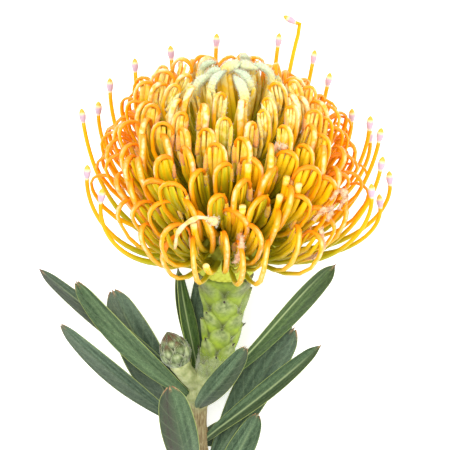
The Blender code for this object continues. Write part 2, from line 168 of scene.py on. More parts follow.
# Leaves. Shape: share up the stem, turn in degrees round it from the upper side, how far the foot
# leads out, tip, bow and half width in mm, roll in degrees, fold, and teeth at the tip. Look: late,
# the power that moves the widest place outwards, tone from green to grey, strength of the pale
# midrib and its place across, and how dark the left half is, or the right one where negative.
Leaf = namedtuple("Leaf", "name share turn lead tip bow half roll fold teeth late tone rib rib_place dark")
LEAVES = [Leaf(*row) for row in (
    ("leaf_a", 0.45, -112, 14, (-59.1, -1.8, 9.0), (0, -1, 0), 3.0, 0, 0.3, 1, 1.45, 0.7, 0.3, 0.1, 0.75),
    ("leaf_b", 0.455, -68, 10, (-45.5, -4.6, 24.0), (-2, -4.5, -3), 4.0, 18, 0.3, 3, 1.6, 0.25, 0.06, 0, 0),
    ("leaf_c", 0.27, -125, 14, (-34.4, -9.8, 4.0), (-2, -1, 0), 6.6, 0, 0.2, 3, 1.45, 0.6, 0.3, 0.05, 0.25),
    ("leaf_d", 0.29, -80, 14, (-51.3, -20.2, 15.0), (-2, -2, 2), 3.2, 10, 0.3, 3, 1.7, 0.6, 0.04, 0, 0.35),
    ("leaf_e", 0.08, -20, 14, (-14.1, -37.8, 38.0), (0, -3, 4), 5.6, 0, 0.25, 3, 1.9, 0.3, 0.05, 0, 1),
    ("leaf_f", 0.41, 5, 8, (11.0, -25.5, 32.0), (0, -2, 4), 3.6, 0, 0.3, 3, 1.6, 0.35, 0.05, 0.1, -0.7),
    ("leaf_g", 0.57, 118, 10, (41.4, 0.2, 15.0), (0, -1, 2), 3.2, -10, 0.35, 1, 2.4, 0.05, 0.8, -0.42, 0.15),
    ("leaf_h", 0.13, 105, 10, (27.7, -22.4, 8.0), (-3, 2, 0), 6.2, 0, 0.15, 3, 1.8, 0.4, 0.08, 0.15, 0),
    ("leaf_i", 0.25, 75, 8, (36.4, -26.1, 23.0), (1, -2, 0), 2.9, 25, 0.8, 1, 1.7, 0.3, 0.6, -0.1, -0.4),
    ("leaf_j", 0.06, 70, 8, (15.2, -51.3, 13.0), (2, -2, -1), 4.2, 0, 0.3, 3, 1.6, 0.35, 0.2, 0, 0),
    ("leaf_k", 0.20, 165, 6, (13.5, -56.0, 1.2), (0, -1, -1), 4.4, 0, 0.15, 3, 1.45, 0.6, 0.15, 0, 0.2),
    ("leaf_l", 0.56, -118, 6, (-11.6, -1.8, 12.0), (-1, 0, 0), 2.6, -38, 0.3, 1, 1.3, 0, 0.7, 0, 0),
    ("leaf_m", 0.44, 175, 6, (-1.0, 3.0, 6.0), (-1, 0, -2), 5.0, 0, 0.2, 3, 1.45, 0.6, 0.05, 0, 0),
    ("leaf_l_inner", 0.55, -128, 6, (-12, -2, 10), (-3.5, 0, 0), 1.6, -25, 0.6, 1, 1.3, 0.15, 0.5, 0.6, 0.5),
)]  # fmt: skip
CAD_LEAVES = 13  # the last leaf has no solid of its own
LEAF_FOOT = 1.1 * MM
LEAF_TOOTH = 0.6 * MM
LEAF_ROWS, LEAF_COLUMNS = 80, 33
TIP_SHARE = {1: 0.36, 3: 0.42}  # how wide the tip stays, by teeth

# The stage: the camera's angle from straight down and its distance, what it shows, as a width and
# as the shift from the head's centre to the right and upwards, and each lamp's place, size and
# power.
CAMERA_TIP = radians(5.0)
CAMERA_DISTANCE = 0.75
CAMERA_SENSOR = 36.0
VIEW_WIDTH = 147.15 * MM
VIEW_SHIFT = (-1.31 * MM, -15.04 * MM)
FLOOR_REACH, FLOOR_GLOW, ROOM_LIGHT = 3, 0.5, 0.85
WHITE = (1.0, 1.0, 1.0, 1.0)
LAMPS = {"key": ((-0.16, 0.26, 0.90), 0.5, 7.5), "fill": ((0.55, -0.25, 0.60), 0.5, 2.6)}


# ---------------------------------------------------------------- settings


def length(name, description, default):
    return bpy.props.FloatProperty(
        name=name, description=description, default=default, unit="LENGTH", subtype="DISTANCE", precision=5
    )


def count(name, description, default):
    return bpy.props.IntProperty(name=name, description=description, default=default, min=1)


def colour(name, description, default):
    return bpy.props.FloatVectorProperty(
        name=name, description=description, default=default, subtype="COLOR", min=0.0, max=1.0
    )


class ProteaSizes(bpy.types.PropertyGroup):
    """Sizes and counts of the flower's parts."""

    flowers: count("Flowers", "Looped and closed flowers on the head", 228)
    closed_flowers: count("Closed flowers", "The youngest ones, round the top", 11)
    top_reach: length("Top reach", "Head centre to the loops at the top", 39.0 * MM)
    side_reach: length("Side reach", "Head centre to the loops at the widest", 44.5 * MM)
    free_reach: length("Free reach", "Head axis to the tip of a freed style", 50.0 * MM)
    style_radius: length("Style radius", "Half the thickness of a style", 0.98 * MM)
    limb_radius: length("Limb radius", "Half the thickness of a flower's woolly limb", 1.2 * MM)
    blade: length("Leaf thickness", "Thickness of a leaf at its middle", 0.8 * MM)
    scale_rise: length("Scale rise", "How far a neck scale stands out", 1.9 * MM)


class ProteaColours(bpy.types.PropertyGroup):
    """Colours of the flower's parts, as linear red, green and blue."""

    # Olive is also the colour of the painted shade in the straps' grooves and on the core.
    olive: colour("Olive", "Deep inside the head", (0.42, 0.36, 0.008))
    lime: colour("Lime", "Foot of a style", (0.46, 0.42, 0.006))
    yellow: colour("Yellow", "Upper part of a perianth", (0.86, 0.52, 0.004))
    golden: colour("Golden", "Middle of a style", (0.94, 0.46, 0.004))
    orange: colour("Orange", "Crook of a style", (0.94, 0.32, 0.002))
    coral: colour("Coral", "Where a style enters its limb", (0.86, 0.24, 0.012))
    # Peach is also painted highlight, on the outer face of the styles' bends.
    peach: colour("Peach", "Outer face of a crook", (1.0, 0.74, 0.44))
    cream: colour("Cream", "Top of a young perianth", (0.88, 0.82, 0.36))
    down: colour("Down", "Hairs on the limbs", (0.82, 0.80, 0.64))
    wool: colour("Wool", "Hairs of the young limbs", (0.58, 0.68, 0.46))
    lilac: colour("Lilac", "Foot of a pollen presenter", (0.57, 0.41, 0.51))
    pollen: colour("Pollen", "Tip of a pollen presenter", (0.62, 0.44, 0.03))
    scale: colour("Neck scale", "Scales of the neck", (0.34, 0.46, 0.03))
    bark: colour("Bark", "Woody stem", (0.27, 0.205, 0.09))
    margin: colour("Leaf margin", "Edge of a leaf", (0.42, 0.50, 0.12))


# ---------------------------------------------------------------- shapes


def unit(vectors):
    """Vectors scaled to a length of one."""
    return vectors / np.linalg.norm(vectors, axis=-1, keepdims=True)


def mm(value):
    """A column of millimetres."""
    return np.asarray(value, float)[..., None] * MM


def steps(number):
    """Shares from 0 to 1 along a line, as one row."""
    return np.linspace(0, 1, number)[None]


def between(low, high, share):
    """The value at a share of the way from low to high."""
    return low + (high - low) * share


def ease(low, high, value):
    """0 below low, 1 above high, and an S-curve between."""
    share = np.clip((value - low) / (high - low), 0.0, 1.0)
    return share * share * (3.0 - 2.0 * share)


def jitter(index, channel):
    """A repeatable number from -1 to 1 for each flower and purpose: the fraction of a steep sine."""
    wave = np.sin(index * 12.9898 + channel * 78.233) * 43758.5453
    return 2.0 * (wave - np.floor(wave)) - 1.0


def arc(start, leave, arrive, end, rows, last=1.0):
    """Cubic curves from start to end, points (..., 3). The vector by which they leave and the one
    by which they arrive are each a third of the slope there. They are read at even shares t, as
    many as rows, up to the last one."""
    t = np.linspace(0, last, rows)[:, None]
    a, b, c, d = (point[..., None, :] for point in (start, start + leave, end - arrive, end))
    return (1 - t) ** 3 * a + 3 * t * (1 - t) ** 2 * b + 3 * t * t * (1 - t) * c + t**3 * d


def spline(points, shares):
    """A smooth cubic curve through a list of points, at shares of its parameter from 0 to 1. Its
    slope at a point is half the way from the point before to the point after."""
    ends = np.vstack([2 * points[0] - points[1], points, 2 * points[-1] - points[-2]])
    place = np.asarray(shares) * (len(points) - 1)
    k = np.minimum(place.astype(int), len(points) - 2)
    t = (place - k)[:, None]
    a, b, c, d = ends[k], ends[k + 1], ends[k + 2], ends[k + 3]
    return b + 0.5 * t * (c - a + t * (2 * a - 5 * b + 4 * c - d + t * (3 * (b - c) + d - a)))


def angles(number, start=0.0):
    """Evenly spaced angles round a circle, from a start counted in steps."""
    return (np.arange(number) + start) * 2 * pi / number


def skin(rings, first, last):
    """Closed surfaces through rings (N, rows, columns, 3) that turn counterclockwise as seen from
    the last ring, with fans from the end rings to the points first and last (N, 3). Returns
    points, quads and triangles."""
    n, rows, columns = rings.shape[:3]
    size = rows * columns
    here = np.arange(size).reshape(rows, columns)
    after = np.roll(here, -1, axis=1)
    quads = np.stack([here[:-1], after[:-1], after[1:], here[1:]], -1).reshape(-1, 4)
    foot, top = np.full(columns, size), np.full(columns, size + 1)
    fans = [np.stack([foot, after[0], here[0]], -1), np.stack([top, here[-1], after[-1]], -1)]
    points = np.concatenate([rings.reshape(n, size, 3), first[:, None], last[:, None]], axis=1)
    base = (np.arange(n) * (size + 2))[:, None, None]
    return points.reshape(-1, 3), (quads + base).reshape(-1, 4), (np.concatenate(fans) + base).reshape(-1, 3)


def lathe(rings):
    """One closed surface through rings (rows, columns, 3), with fans to the middles of its ends."""
    return skin(rings[None], rings[:1].mean(1), rings[-1:].mean(1))


def lathe_values(values):
    """Values (rows, columns) for the points that lathe() makes."""
    return np.concatenate([values.reshape(-1), [values[0].mean(), values[-1].mean()]])


def tubes(paths, widths, depths, side, sides, curl=0.0):
    """Closed tubes along paths (N, P, 3). A ring's point at angle a lies width * cos a along the
    side direction and depth * sin a across it, raised by curl * width * cos² a, so that a flat
    tube becomes a gutter."""
    n, p = paths.shape[:2]
    widths = np.broadcast_to(widths, (n, p))[..., None, None]
    depths = np.broadcast_to(depths, (n, p))[..., None, None]
    tangents = unit(np.gradient(paths, axis=1))
    normals = unit(np.cross(tangents, np.broadcast_to(side[:, None], (n, p, 3))))
    across = np.cross(normals, tangents)
    turns = angles(sides, 0.5)[:, None]
    lift = depths * np.sin(turns) + curl * widths * np.cos(turns) ** 2
    rings = paths[:, :, None] + widths * np.cos(turns) * across[:, :, None] + lift * normals[:, :, None]
    return skin(rings, paths[:, 0], paths[:, -1])


def ring_values(shape, sides, values, front=0.0, back=0.0):
    """Values by flowers and rings, spread over the points of tubes with that shape (N, P). front
    and back are added along the middle of the face that lies along the normal, and of the one
    behind, and fall off to the sides with the cube of the sine."""
    values, front, back = (np.broadcast_to(some, shape)[:, :, None] for some in (values, front, back))
    face = np.sin(angles(sides, 0.5)) ** 3
    rings = values + front * np.maximum(face, 0) + back * np.maximum(-face, 0)
    return np.concatenate([rings.reshape(len(rings), -1), values[:, 0], values[:, -1]], axis=1).reshape(-1)


def hairs(roots, directions, lengths, radius):
    """Thin three-sided spikes from roots (N, 3). Each has a ring at its foot, one at half its
    length with 0.7 of the radius, bent a little to one side, and a pointed tip."""
    directions = unit(directions)
    side = unit(np.cross(directions, UP + 0.3 * RIGHT))
    turns = angles(3)[:, None]
    circle = radius * (np.cos(turns) * side[:, None] + np.sin(turns) * np.cross(directions, side)[:, None])
    reach = lengths[:, None] * directions
    middle = roots + 0.5 * reach + 0.10 * lengths[:, None] * side
    rings = [roots[:, None] + circle, middle[:, None] + 0.7 * circle, (roots + reach)[:, None]]
    points = np.concatenate(rings, axis=1)
    quads = np.array([(0, 1, 4, 3), (1, 2, 5, 4), (2, 0, 3, 5)])
    triangles = np.array([(2, 1, 0), (3, 4, 6), (4, 5, 6), (5, 3, 6)])
    base = (np.arange(len(roots)) * points.shape[1])[:, None, None]
    return points.reshape(-1, 3), (quads + base).reshape(-1, 4), (triangles + base).reshape(-1, 3)


def shell(upper, lower):
    """A closed blade from its two faces, each an array (rows, columns, 3), joined by a rim along
    their common edge. Returns points, quads and no triangles."""
    rows, columns = upper.shape[:2]
    size = rows * columns
    grid = np.arange(size).reshape(rows, columns)
    top = np.stack([grid[:-1, :-1], grid[:-1, 1:], grid[1:, 1:], grid[1:, :-1]], -1).reshape(-1, 4)
    rim = np.concatenate([grid[0], grid[1:, -1], grid[-1, -2::-1], grid[-2:0:-1, 0]])
    after = np.roll(rim, -1)
    edge = np.stack([rim, rim + size, after + size, after], -1)
    quads = np.concatenate([top, top[:, ::-1] + size, edge])
    return np.concatenate([upper.reshape(-1, 3), lower.reshape(-1, 3)]), quads, np.zeros((0, 3), int)


def add_piece(name, mesh, material, slot, replaces=(), **values):
    """Makes the object of a (points, quads, triangles) mesh, smooth and clear of the floor, with
    a float attribute for each named array of values, and lets it ride on the root body."""
    points, quads, triangles = mesh
    points = points.copy()
    points[:, 2] = np.maximum(points[:, 2], FLOOR_GAP)
    data = bpy.data.meshes.new(name)
    data.vertices.add(len(points))
    data.vertices.foreach_set("co", points.astype(np.float32).reshape(-1))
    corners = np.concatenate([quads.reshape(-1), triangles.reshape(-1)]).astype(np.int32)
    starts = np.concatenate([np.arange(len(quads)) * 4, len(quads) * 4 + np.arange(len(triangles)) * 3])
    data.loops.add(len(corners))
    data.loops.foreach_set("vertex_index", corners)
    data.polygons.add(len(starts))
    data.polygons.foreach_set("loop_start", starts.astype(np.int32))
    data.polygons.foreach_set("use_smooth", np.ones(len(starts), bool))
    data.update(calc_edges=True)
    if data.validate():
        raise RuntimeError(f"{name} has faces that aren't valid")
    for key, numbers in values.items():
        attribute = data.attributes.new(key, "FLOAT", "POINT")
        attribute.data.foreach_set("value", numbers.astype(np.float32))
    data.materials.append(material)
    piece = bpy.data.objects.new(name, data)
    bpy.context.scene.collection.objects.link(piece)
    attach(piece, "root")
    if replaces:
        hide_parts(*replaces)
    return piece


def add_tubes(
    name, material, paths, widths, depths, side, sides, curl=0.0, slot="style", replaces=(), **values
):
    """Adds tubes as one piece, with values by flowers and rings: an array each, or a tuple of that
    and of what its front face, and its back one, have more."""
    mesh = tubes(paths, widths, depths, side, sides, curl)
    for key, some in values.items():
        some = some if isinstance(some, tuple) else (some,)
        values[key] = ring_values(paths.shape[:2], sides, *some)
    return add_piece(name, mesh, material, slot, replaces, **values)


def add_wool(name, piece, weights, number, reach, lean, tint, slot="style", roughness=0.7, specular=0.3):
    """Short hairs from a piece's points, drawn by weight. Each stands along the point's normal,
    bent towards the lean direction, and is up to reach long."""
    data = piece.data
    points, normals = np.empty((2, len(data.vertices) * 3), np.float32)
    data.vertices.foreach_get("co", points)
    data.vertices.foreach_get("normal", normals)
    draw = np.random.default_rng(number)
    chosen = draw.choice(len(weights), number, p=weights / weights.sum())
    spread = draw.normal(0.0, 0.35, (number, 3))
    roots = points.reshape(-1, 3)[chosen] + draw.normal(0.0, 0.08, (number, 3)) * MM
    directions = normals.reshape(-1, 3)[chosen] + spread + lean
    mesh = hairs(roots, directions, reach * draw.uniform(0.4, 1.0, number), 0.03 * MM)
    finish = Finish(f"{name}_hairs", roughness, specular=specular).paint(tint)
    return add_piece(f"{name}_wool", mesh, finish.material, slot)


# ---------------------------------------------------------------- finishes


class Finish:
    """A material and short ways to add the nodes of its pattern."""

    def __init__(self, name, roughness, specular=0.5, subsurface=0.0, sheen=0.0):
        self.material = bpy.data.materials.new(name)
        self.material.use_nodes = True
        self.tree = self.material.node_tree
        self.shader = self.tree.nodes["Principled BSDF"]
        settings = {"Roughness": roughness, "Specular IOR Level": specular}
        if subsurface:
            settings["Subsurface Weight"] = subsurface
            settings["Subsurface Radius"] = (1.0, 0.6, 0.2)
            settings["Subsurface Scale"] = 0.0012
        if sheen:
            settings["Sheen Weight"] = sheen
            settings["Sheen Roughness"] = 0.4
        for key, value in settings.items():
            self.shader.inputs[key].default_value = value
        self.place = self.node("ShaderNodeTexCoord").outputs["Object"]

    def node(self, kind, **settings):
        """A node with its properties, and its inputs by their capitalised names."""
        node = self.tree.nodes.new(kind)
        for key, value in settings.items():
            if key in node.inputs:
                self.link(value, node.inputs[key])
            else:
                setattr(node, key, value)
        return node

    def link(self, source, target):
        if isinstance(source, bpy.types.NodeSocket):
            self.tree.links.new(source, target)
        elif isinstance(source, (int, float)):
            target.default_value = source
        elif target.type == "RGBA":
            target.default_value = (*tuple(source)[:3], 1.0)
        else:
            target.default_value = source

    def value(self, name):
        return self.node("ShaderNodeAttribute", attribute_name=name).outputs["Fac"]

    def noise(self, scale, detail=3.0, stretch=(1.0, 1.0, 1.0), place=None):
        """Noise on object coordinates, with scale in cycles a metre, or on another place."""
        mapping = self.node("ShaderNodeMapping", Vector=place or self.place, Scale=stretch)
        vector = mapping.outputs["Vector"]
        return self.node("ShaderNodeTexNoise", Vector=vector, Scale=scale, Detail=detail).outputs["Fac"]

    def math(self, operation, *values, clamp=False):
        node = self.node("ShaderNodeMath", operation=operation, use_clamp=clamp)
        for source, target in zip(values, node.inputs):
            self.link(source, target)
        return node.outputs["Value"]

    def shifted(self, name, pattern, width):
        """A value moved by a pattern, whose full range is that width, and clamped after each step."""
        moved = self.math("ADD", self.value(name), self.math("MULTIPLY", pattern, width), clamp=True)
        return self.math("SUBTRACT", moved, width / 2, clamp=True)

    def ramp(self, factor, *stops):
        """Colours, or greys, at places from 0 to 1."""
        ramp = self.node("ShaderNodeValToRGB", Fac=factor)
        elements = ramp.color_ramp.elements
        while len(elements) < len(stops):
            elements.new(0.5)
        for element, (place, tint) in zip(elements, stops):
            element.position = place
            element.color = (*tuple(tint)[:3], 1.0) if hasattr(tint, "__len__") else (tint, tint, tint, 1.0)
        return ramp.outputs["Color"]

    def mottle(self, scale, detail, *stops):
        """A ramp of noise."""
        return self.ramp(self.noise(scale, detail), *stops)

    def mix(self, factor, a, b, blend="MIX"):
        """Colour b over a. The node's first socket and those for colours are used."""
        node = self.node("ShaderNodeMix", data_type="RGBA", blend_type=blend)
        for source, socket in ((factor, 0), (a, 6), (b, 7)):
            self.link(source, node.inputs[socket])
        return node.outputs[2]

    def layers(self, tint, **over):
        """The tint with others laid over it in turn, each by the attribute that it is named for."""
        for name, layer in over.items():
            tint = self.mix(self.value(name), tint, layer)
        return tint

    def paint(self, tint):
        self.link(tint, self.shader.inputs["Base Color"])
        return self

    def bump(self, height, distance):
        bump = self.node("ShaderNodeBump", Height=height, Distance=distance)
        self.link(bump.outputs["Normal"], self.shader.inputs["Normal"])
        return self


def style_finish(name, tints, strap=False):
    """Waxy and translucent. The attribute warmth runs from olive through lime and gold to coral
    on a style and to orange on a strap. Another attribute, in patches, turns a young style's
    bends peach, paints a peach highlight along the outside of every style's bends, and turns
    a strap's top cream."""
    finish = Finish(name, 0.34, specular=0.20, subsurface=0.10)
    warmth = finish.shifted("warmth", finish.noise(420.0, 2.0), 0.14)
    shine = finish.value("shine")
    if strap:
        stops = ((0.25, tints.lime), (0.6, tints.yellow), (0.8, tints.golden), (1.0, tints.orange))
    else:
        stops = ((0.2, tints.lime), (0.5, tints.golden), (0.8, tints.orange), (1.0, tints.coral))
        # On a style this value is sharpened, so that the painted peach highlight keeps to the middle of the
        # outer face.
        shine = finish.ramp(shine, (0.25, 0.0), (0.9, 1.0))
    patches = finish.mottle(500.0, 2.0, (0.38, 0.10), (0.60, 1.0))
    pale_and_highlight_tint = tints.cream if strap else tints.peach
    tint = finish.ramp(warmth, (0.0, tints.olive), *stops)
    # Peach is a young style's own colour and the painted highlight on the bends; cream is a strap's own top.
    finish.paint(finish.mix(finish.math("MULTIPLY", shine, patches), tint, pale_and_highlight_tint))
    return finish.bump(finish.noise(2600.0, 2.0), 0.00006).material


def wool_finish(name, tints):
    """Soft and matt. The attribute warmth runs from white wool through straw and yellow to pink."""
    finish = Finish(name, 0.75, specular=0.25, subsurface=0.2, sheen=0.4)
    warmth = finish.shifted("warmth", finish.noise(1100.0, 4.0), 0.4)
    straw, pink = (0.80, 0.74, 0.30), (0.86, 0.40, 0.12)
    stops = ((0.08, tints.wool), (0.36, straw), (0.55, tints.yellow), (0.72, pink), (1.0, tints.orange))
    return finish.paint(finish.ramp(warmth, *stops)).bump(finish.noise(1500.0, 4.0), 0.0005).material


# ---------------------------------------------------------------- the head


def head_axes():
    """Right, down and along the axis of the head, as rows."""
    along = np.array([sin(HEAD_LEAN), cos(HEAD_LEAN) * cos(HEAD_TILT), cos(HEAD_LEAN) * sin(HEAD_TILT)])
    down = unit(np.cross(along, RIGHT))
    return np.array([np.cross(down, along), down, along])


HEAD_AXES = head_axes()
BUD_AXIS = unit(np.array([-0.34, 0.90, 0.27]))


def to_world(points):
    """Points of the head's own frame in the part's frame."""
    return points @ HEAD_AXES + HEAD_CENTRE


def pressed(points, radius):
    """Lines of the head in the part's frame, bent along the surface where they would pass through
    it: below the start of the bend, height falls off as an exponential that ends at the rest."""
    points = to_world(points)
    rest, start = 0.6 * radius, 2.0 * MM
    height = points[..., 2] - rest
    bent = rest + start * np.exp(np.minimum((height - start) / start, 0.0))
    points[..., 2] = np.where(height < start, bent, points[..., 2])
    return points


def head_points(rows):
    """Points of the head from rows of azimuth and polar angle in degrees and reach in mm."""
    azimuth, polar, reach = np.moveaxis(np.asarray(rows, float), -1, 0)
    azimuth, polar, reach = np.radians(azimuth), np.radians(polar), reach * MM
    ring = np.sin(polar) * reach
    return np.stack([ring * np.sin(azimuth), -ring * np.cos(azimuth), np.cos(polar) * reach], -1)


class Flowers:
    """Flowers of the head as arrays with a row for each: columns of numbers, angles and shares,
    and directions (N, 3). They say where the flowers stand and which way they face."""

    def __init__(self, index, azimuth, polar):
        self.index, self.azimuth, self.polar = index, azimuth, polar
        nothing = np.zeros_like(azimuth)
        self.outward = np.hstack([np.sin(azimuth), -np.cos(azimuth), nothing])
        self.around = np.hstack([np.cos(azimuth), np.sin(azimuth), nothing])
        self.ray = self.towards(polar)
        self.slope = np.cos(polar) * self.outward - np.sin(polar) * UP
        self.root = self.foot(polar)
        self.upper = -self.outward[:, 1:2]
        self.tone = jitter(index, 6)

    def towards(self, polar):
        """Directions at polar angles, on each flower's own meridian."""
        return np.sin(polar) * self.outward + np.cos(polar) * UP

    def foot(self, polar):
        """Points just inside the core, below the places that the flowers reach: on an ellipsoid
        that is 1.15 times as tall as broad."""
        turn = np.minimum(ROOT_SPREAD * polar, LOWEST_ROOT)
        height = ROOT_HEIGHT + 1.15 * ROOT_RADIUS * np.cos(turn)
        return ROOT_RADIUS * np.sin(turn) * self.outward + height * UP

    def past(self, high, low):
        """0 for flowers above the high polar angle, 1 for those below the low one, in degrees."""
        return ease(radians(high), radians(low), self.polar)

    def part(self, chosen):
        """The chosen flowers only."""
        return Flowers(self.index[chosen], self.azimuth[chosen], self.polar[chosen])


def spiral(first, last, total):
    """The flowers from first to last of a golden-angle spiral, evenly spread over the head and
    each a little astray."""
    index = np.arange(first, last, dtype=float)[:, None]
    share = (index + 0.5) / total
    polar = np.arccos(1 - share * (1 - cos(LOWEST_LOOP)))
    azimuth = index * GOLDEN_ANGLE + ASTRAY * jitter(index, 20) / np.maximum(np.sin(polar), 0.3)
    return Flowers(index, azimuth, polar + ASTRAY * jitter(index, 21))


def looped_axes(flowers, grown, low):
    """Which way each looped flower stands and faces, and its side. It leans towards the top of
    the head by the lean angle, and faces down the head, twisted to either side."""
    i = flowers.index
    lean = between(*LEAN, grown) * (1 + 0.25 * jitter(i, 8)) + LOW_LEAN * flowers.past(70, 92)
    upper = ease(0.2, 0.9, np.abs(flowers.upper))
    twists = (SIDE_TWIST, UPPER_TWIST, LOW_TWIST)
    beside, above, below = (angle + astray * jitter(i, 9) for angle, astray in twists)
    twist = between(between(beside, above, upper), below, low) * np.sign(jitter(i, 2))
    lean, twist = np.radians(lean), np.radians(twist)
    stand = np.cos(lean) * flowers.ray - np.sin(lean) * flowers.slope
    front = np.cos(lean) * flowers.slope + np.sin(lean) * flowers.ray
    front = np.cos(twist) * front + np.sin(twist) * flowers.around
    return stand, front, np.cross(front, stand)


def looped_lines(flowers, sizes):
    """Centre lines of each flower's style, limb and perianth straps, with the sides they bow to.
    A flower's sheath stands up behind, with its limb on top. The style leaves the limb, turns
    over in a half circle whose width is the loop, and comes down in front to the same foot:
    steeply near the top, and in a flat sag round the foot of the head. Three more straps fill the
    loop up to its crook."""
    i, ray, polar = flowers.index, flowers.ray, flowers.polar
    grown = np.maximum(flowers.past(*GROWING), ease(0.0, 0.6, -flowers.upper) * flowers.past(14, 34))
    low = flowers.past(74, 92)
    stand, front, side = looped_axes(flowers, grown, low)
    reach = between(sizes.top_reach, sizes.side_reach, np.sin(np.minimum(polar, pi / 2)) ** 2)
    reach = reach * (1 - 0.07 * flowers.outward[:, :1] ** 2 * np.sin(polar))
    top = (reach * (1 + 0.04 * jitter(i, 1)) + 0.4 * MM) * ray
    aside = 1 - ease(0.0, 0.8, flowers.upper)
    wider = between(1.0, 1.15, low) * between(1.0, 1.15, aside * (1 - 0.6 * low))
    loop = MM * between(*LOOP_WIDTH, grown) * (1 + 0.22 * jitter(i, 3)) * wider
    turn = between(0.67, 0.58, aside) * loop + 0.8 * MM
    out = top + 0.5 * loop * front - 0.75 * turn * stand
    deep = MM * between(0.2, 2.4, flowers.past(50, 80)) * (1 + 0.5 * jitter(i, 4))
    astray = 0.7 * MM * jitter(i, 5) * flowers.around
    tip = top - 0.5 * loop * front - (0.75 * turn + deep) * stand + astray

    root = flowers.foot(polar * (1 + 0.2 * low))
    start = flowers.towards(between(np.minimum(polar + radians(20), radians(88)), radians(93), low))
    bow = MM * (between(between(*LEG_BOW, grown), LOW_LEG_BOW, low) * stand - 0.5 * front)
    leg = arc(root, MM * between(14.0, 22.0, low) * start, bow, out, LEG_ROWS, last=0.94)
    crook = arc(out, turn * stand, -(turn + deep) * stand, tip, CROOK_ROWS)
    size = MM * between(*LIMB_LENGTH, grown) * stand
    limb = arc(tip + 0.2 * size, -0.5 * size, -0.3 * size, tip - size, LIMB_ROWS)

    foot, top_end = flowers.foot(0.92 * polar), tip - 0.2 * size
    straps = [(arc(foot, 9 * MM * ray, 9 * MM * stand + 0.8 * size, top_end, STRAP_ROWS), side)]
    for place, shift in FILLING_STRAPS:
        foot = root + 4 * place * MM * front
        sunk = 0.12 * turn + MM * (0.3 + 0.8 * np.abs(jitter(i, 13 + place)) * grown + 0.8 * low)
        end = top + place * loop * front - sunk * stand + shift * MM * side
        line = arc(foot, 10 * MM * ray, 10 * MM * stand, end, STRAP_ROWS)
        straps.append((line, front + 0.5 * jitter(i, 12 + place) * side))
    return np.concatenate([leg, crook], axis=1), limb, straps, side


def add_looped_flowers(sizes, tints):
    """The looped styles, the limbs at their tips and the perianths behind them."""
    flowers = spiral(sizes.closed_flowers, sizes.flowers, sizes.flowers)
    lowest = radians(86) + radians(8.5) * ease(0.3, 0.9, flowers.upper)
    flowers = flowers.part((flowers.polar < lowest)[:, 0])
    style, limb, straps, side = looped_lines(flowers, sizes)
    side = side @ HEAD_AXES
    grown = flowers.past(*GROWING)
    rim = (1 - ease(-0.2, 0.75, flowers.upper)) * np.sin(flowers.polar)
    add_looped_styles(sizes, tints, flowers, style, side, grown, rim)
    add_limbs(sizes, tints, flowers, limb, side)
    add_perianths(tints, flowers, straps, grown, rim)


def add_looped_styles(sizes, tints, flowers, style, side, grown, rim):
    """The styles: thinner from the foot to the tip, warmer upwards and at the rim of the head,
    with a painted peach highlight along the outside of the bend."""
    leg, crook = steps(LEG_ROWS), steps(CROOK_ROWS)

    def along(on_leg, on_crook):
        return np.concatenate([on_leg * np.ones_like(grown), on_crook * np.ones_like(grown)], axis=1)

    wide = along(between(1.1, 1.12, leg), between(1.12, 0.62, ease(0.35, 1.0, crook)))
    flat = along(between(1.0, 0.66, leg), between(0.66, 0.5, crook))
    bent = along(ease(0.6, 1.0, leg), 1 - ease(0.2, 0.6, crook))
    hanging = flowers.past(72, 90)
    rising = between(0.12, 0.52, ease(0.3 * hanging, 0.85 + 0.15 * hanging, leg))
    warmth = along(rising, between(0.54, 0.80, ease(0.05, 0.55, crook)))
    warmth = warmth + 0.05 * flowers.tone + 0.16 * (grown - 0.4) + 0.13 * rim
    fresh = 1 - flowers.past(28, 62)
    # Painted highlight: peach along the middle of the outer face of each bend.
    painted_highlight = bent * (1 - 0.3 * rim) * (0.8 + 0.2 * flowers.tone)
    radius = sizes.style_radius * (1 + 0.08 * flowers.tone) * (1 - 0.2 * rim) * (1 - 0.14 * hanging)
    add_tubes(
        "styles", style_finish("style_wax", tints), pressed(style, sizes.style_radius), radius * wide,
        radius * flat, side, STYLE_SIDES, replaces=("flower_head",),
        warmth=(warmth, 0.0, 0.14 * bent), shine=(0.5 * fresh * bent, painted_highlight),
    )  # fmt: skip


def add_limbs(sizes, tints, flowers, limb, side):
    """The limbs, thicker and woollier on the youngest flowers."""
    woolly = 1 - flowers.past(18, 42)
    width = sizes.limb_radius * np.array(LIMB_SWELL) * between(0.95, 1.1, woolly)
    warmth = between(0.64, 0.16, woolly) + 0.12 * flowers.tone + 0.3 * steps(LIMB_ROWS) * woolly
    limb = pressed(limb, sizes.limb_radius)
    finish = wool_finish("limb_down", tints)
    piece = add_tubes("limbs", finish, limb, width, 0.6 * width, side, LIMB_SIDES, warmth=warmth)
    weights = ring_values(limb.shape[:2], LIMB_SIDES, 0.15 + woolly)
    add_wool("limb", piece, weights, LIMB_HAIRS, 0.8 * MM, 0.4 * HEAD_AXES[2], tints.down)


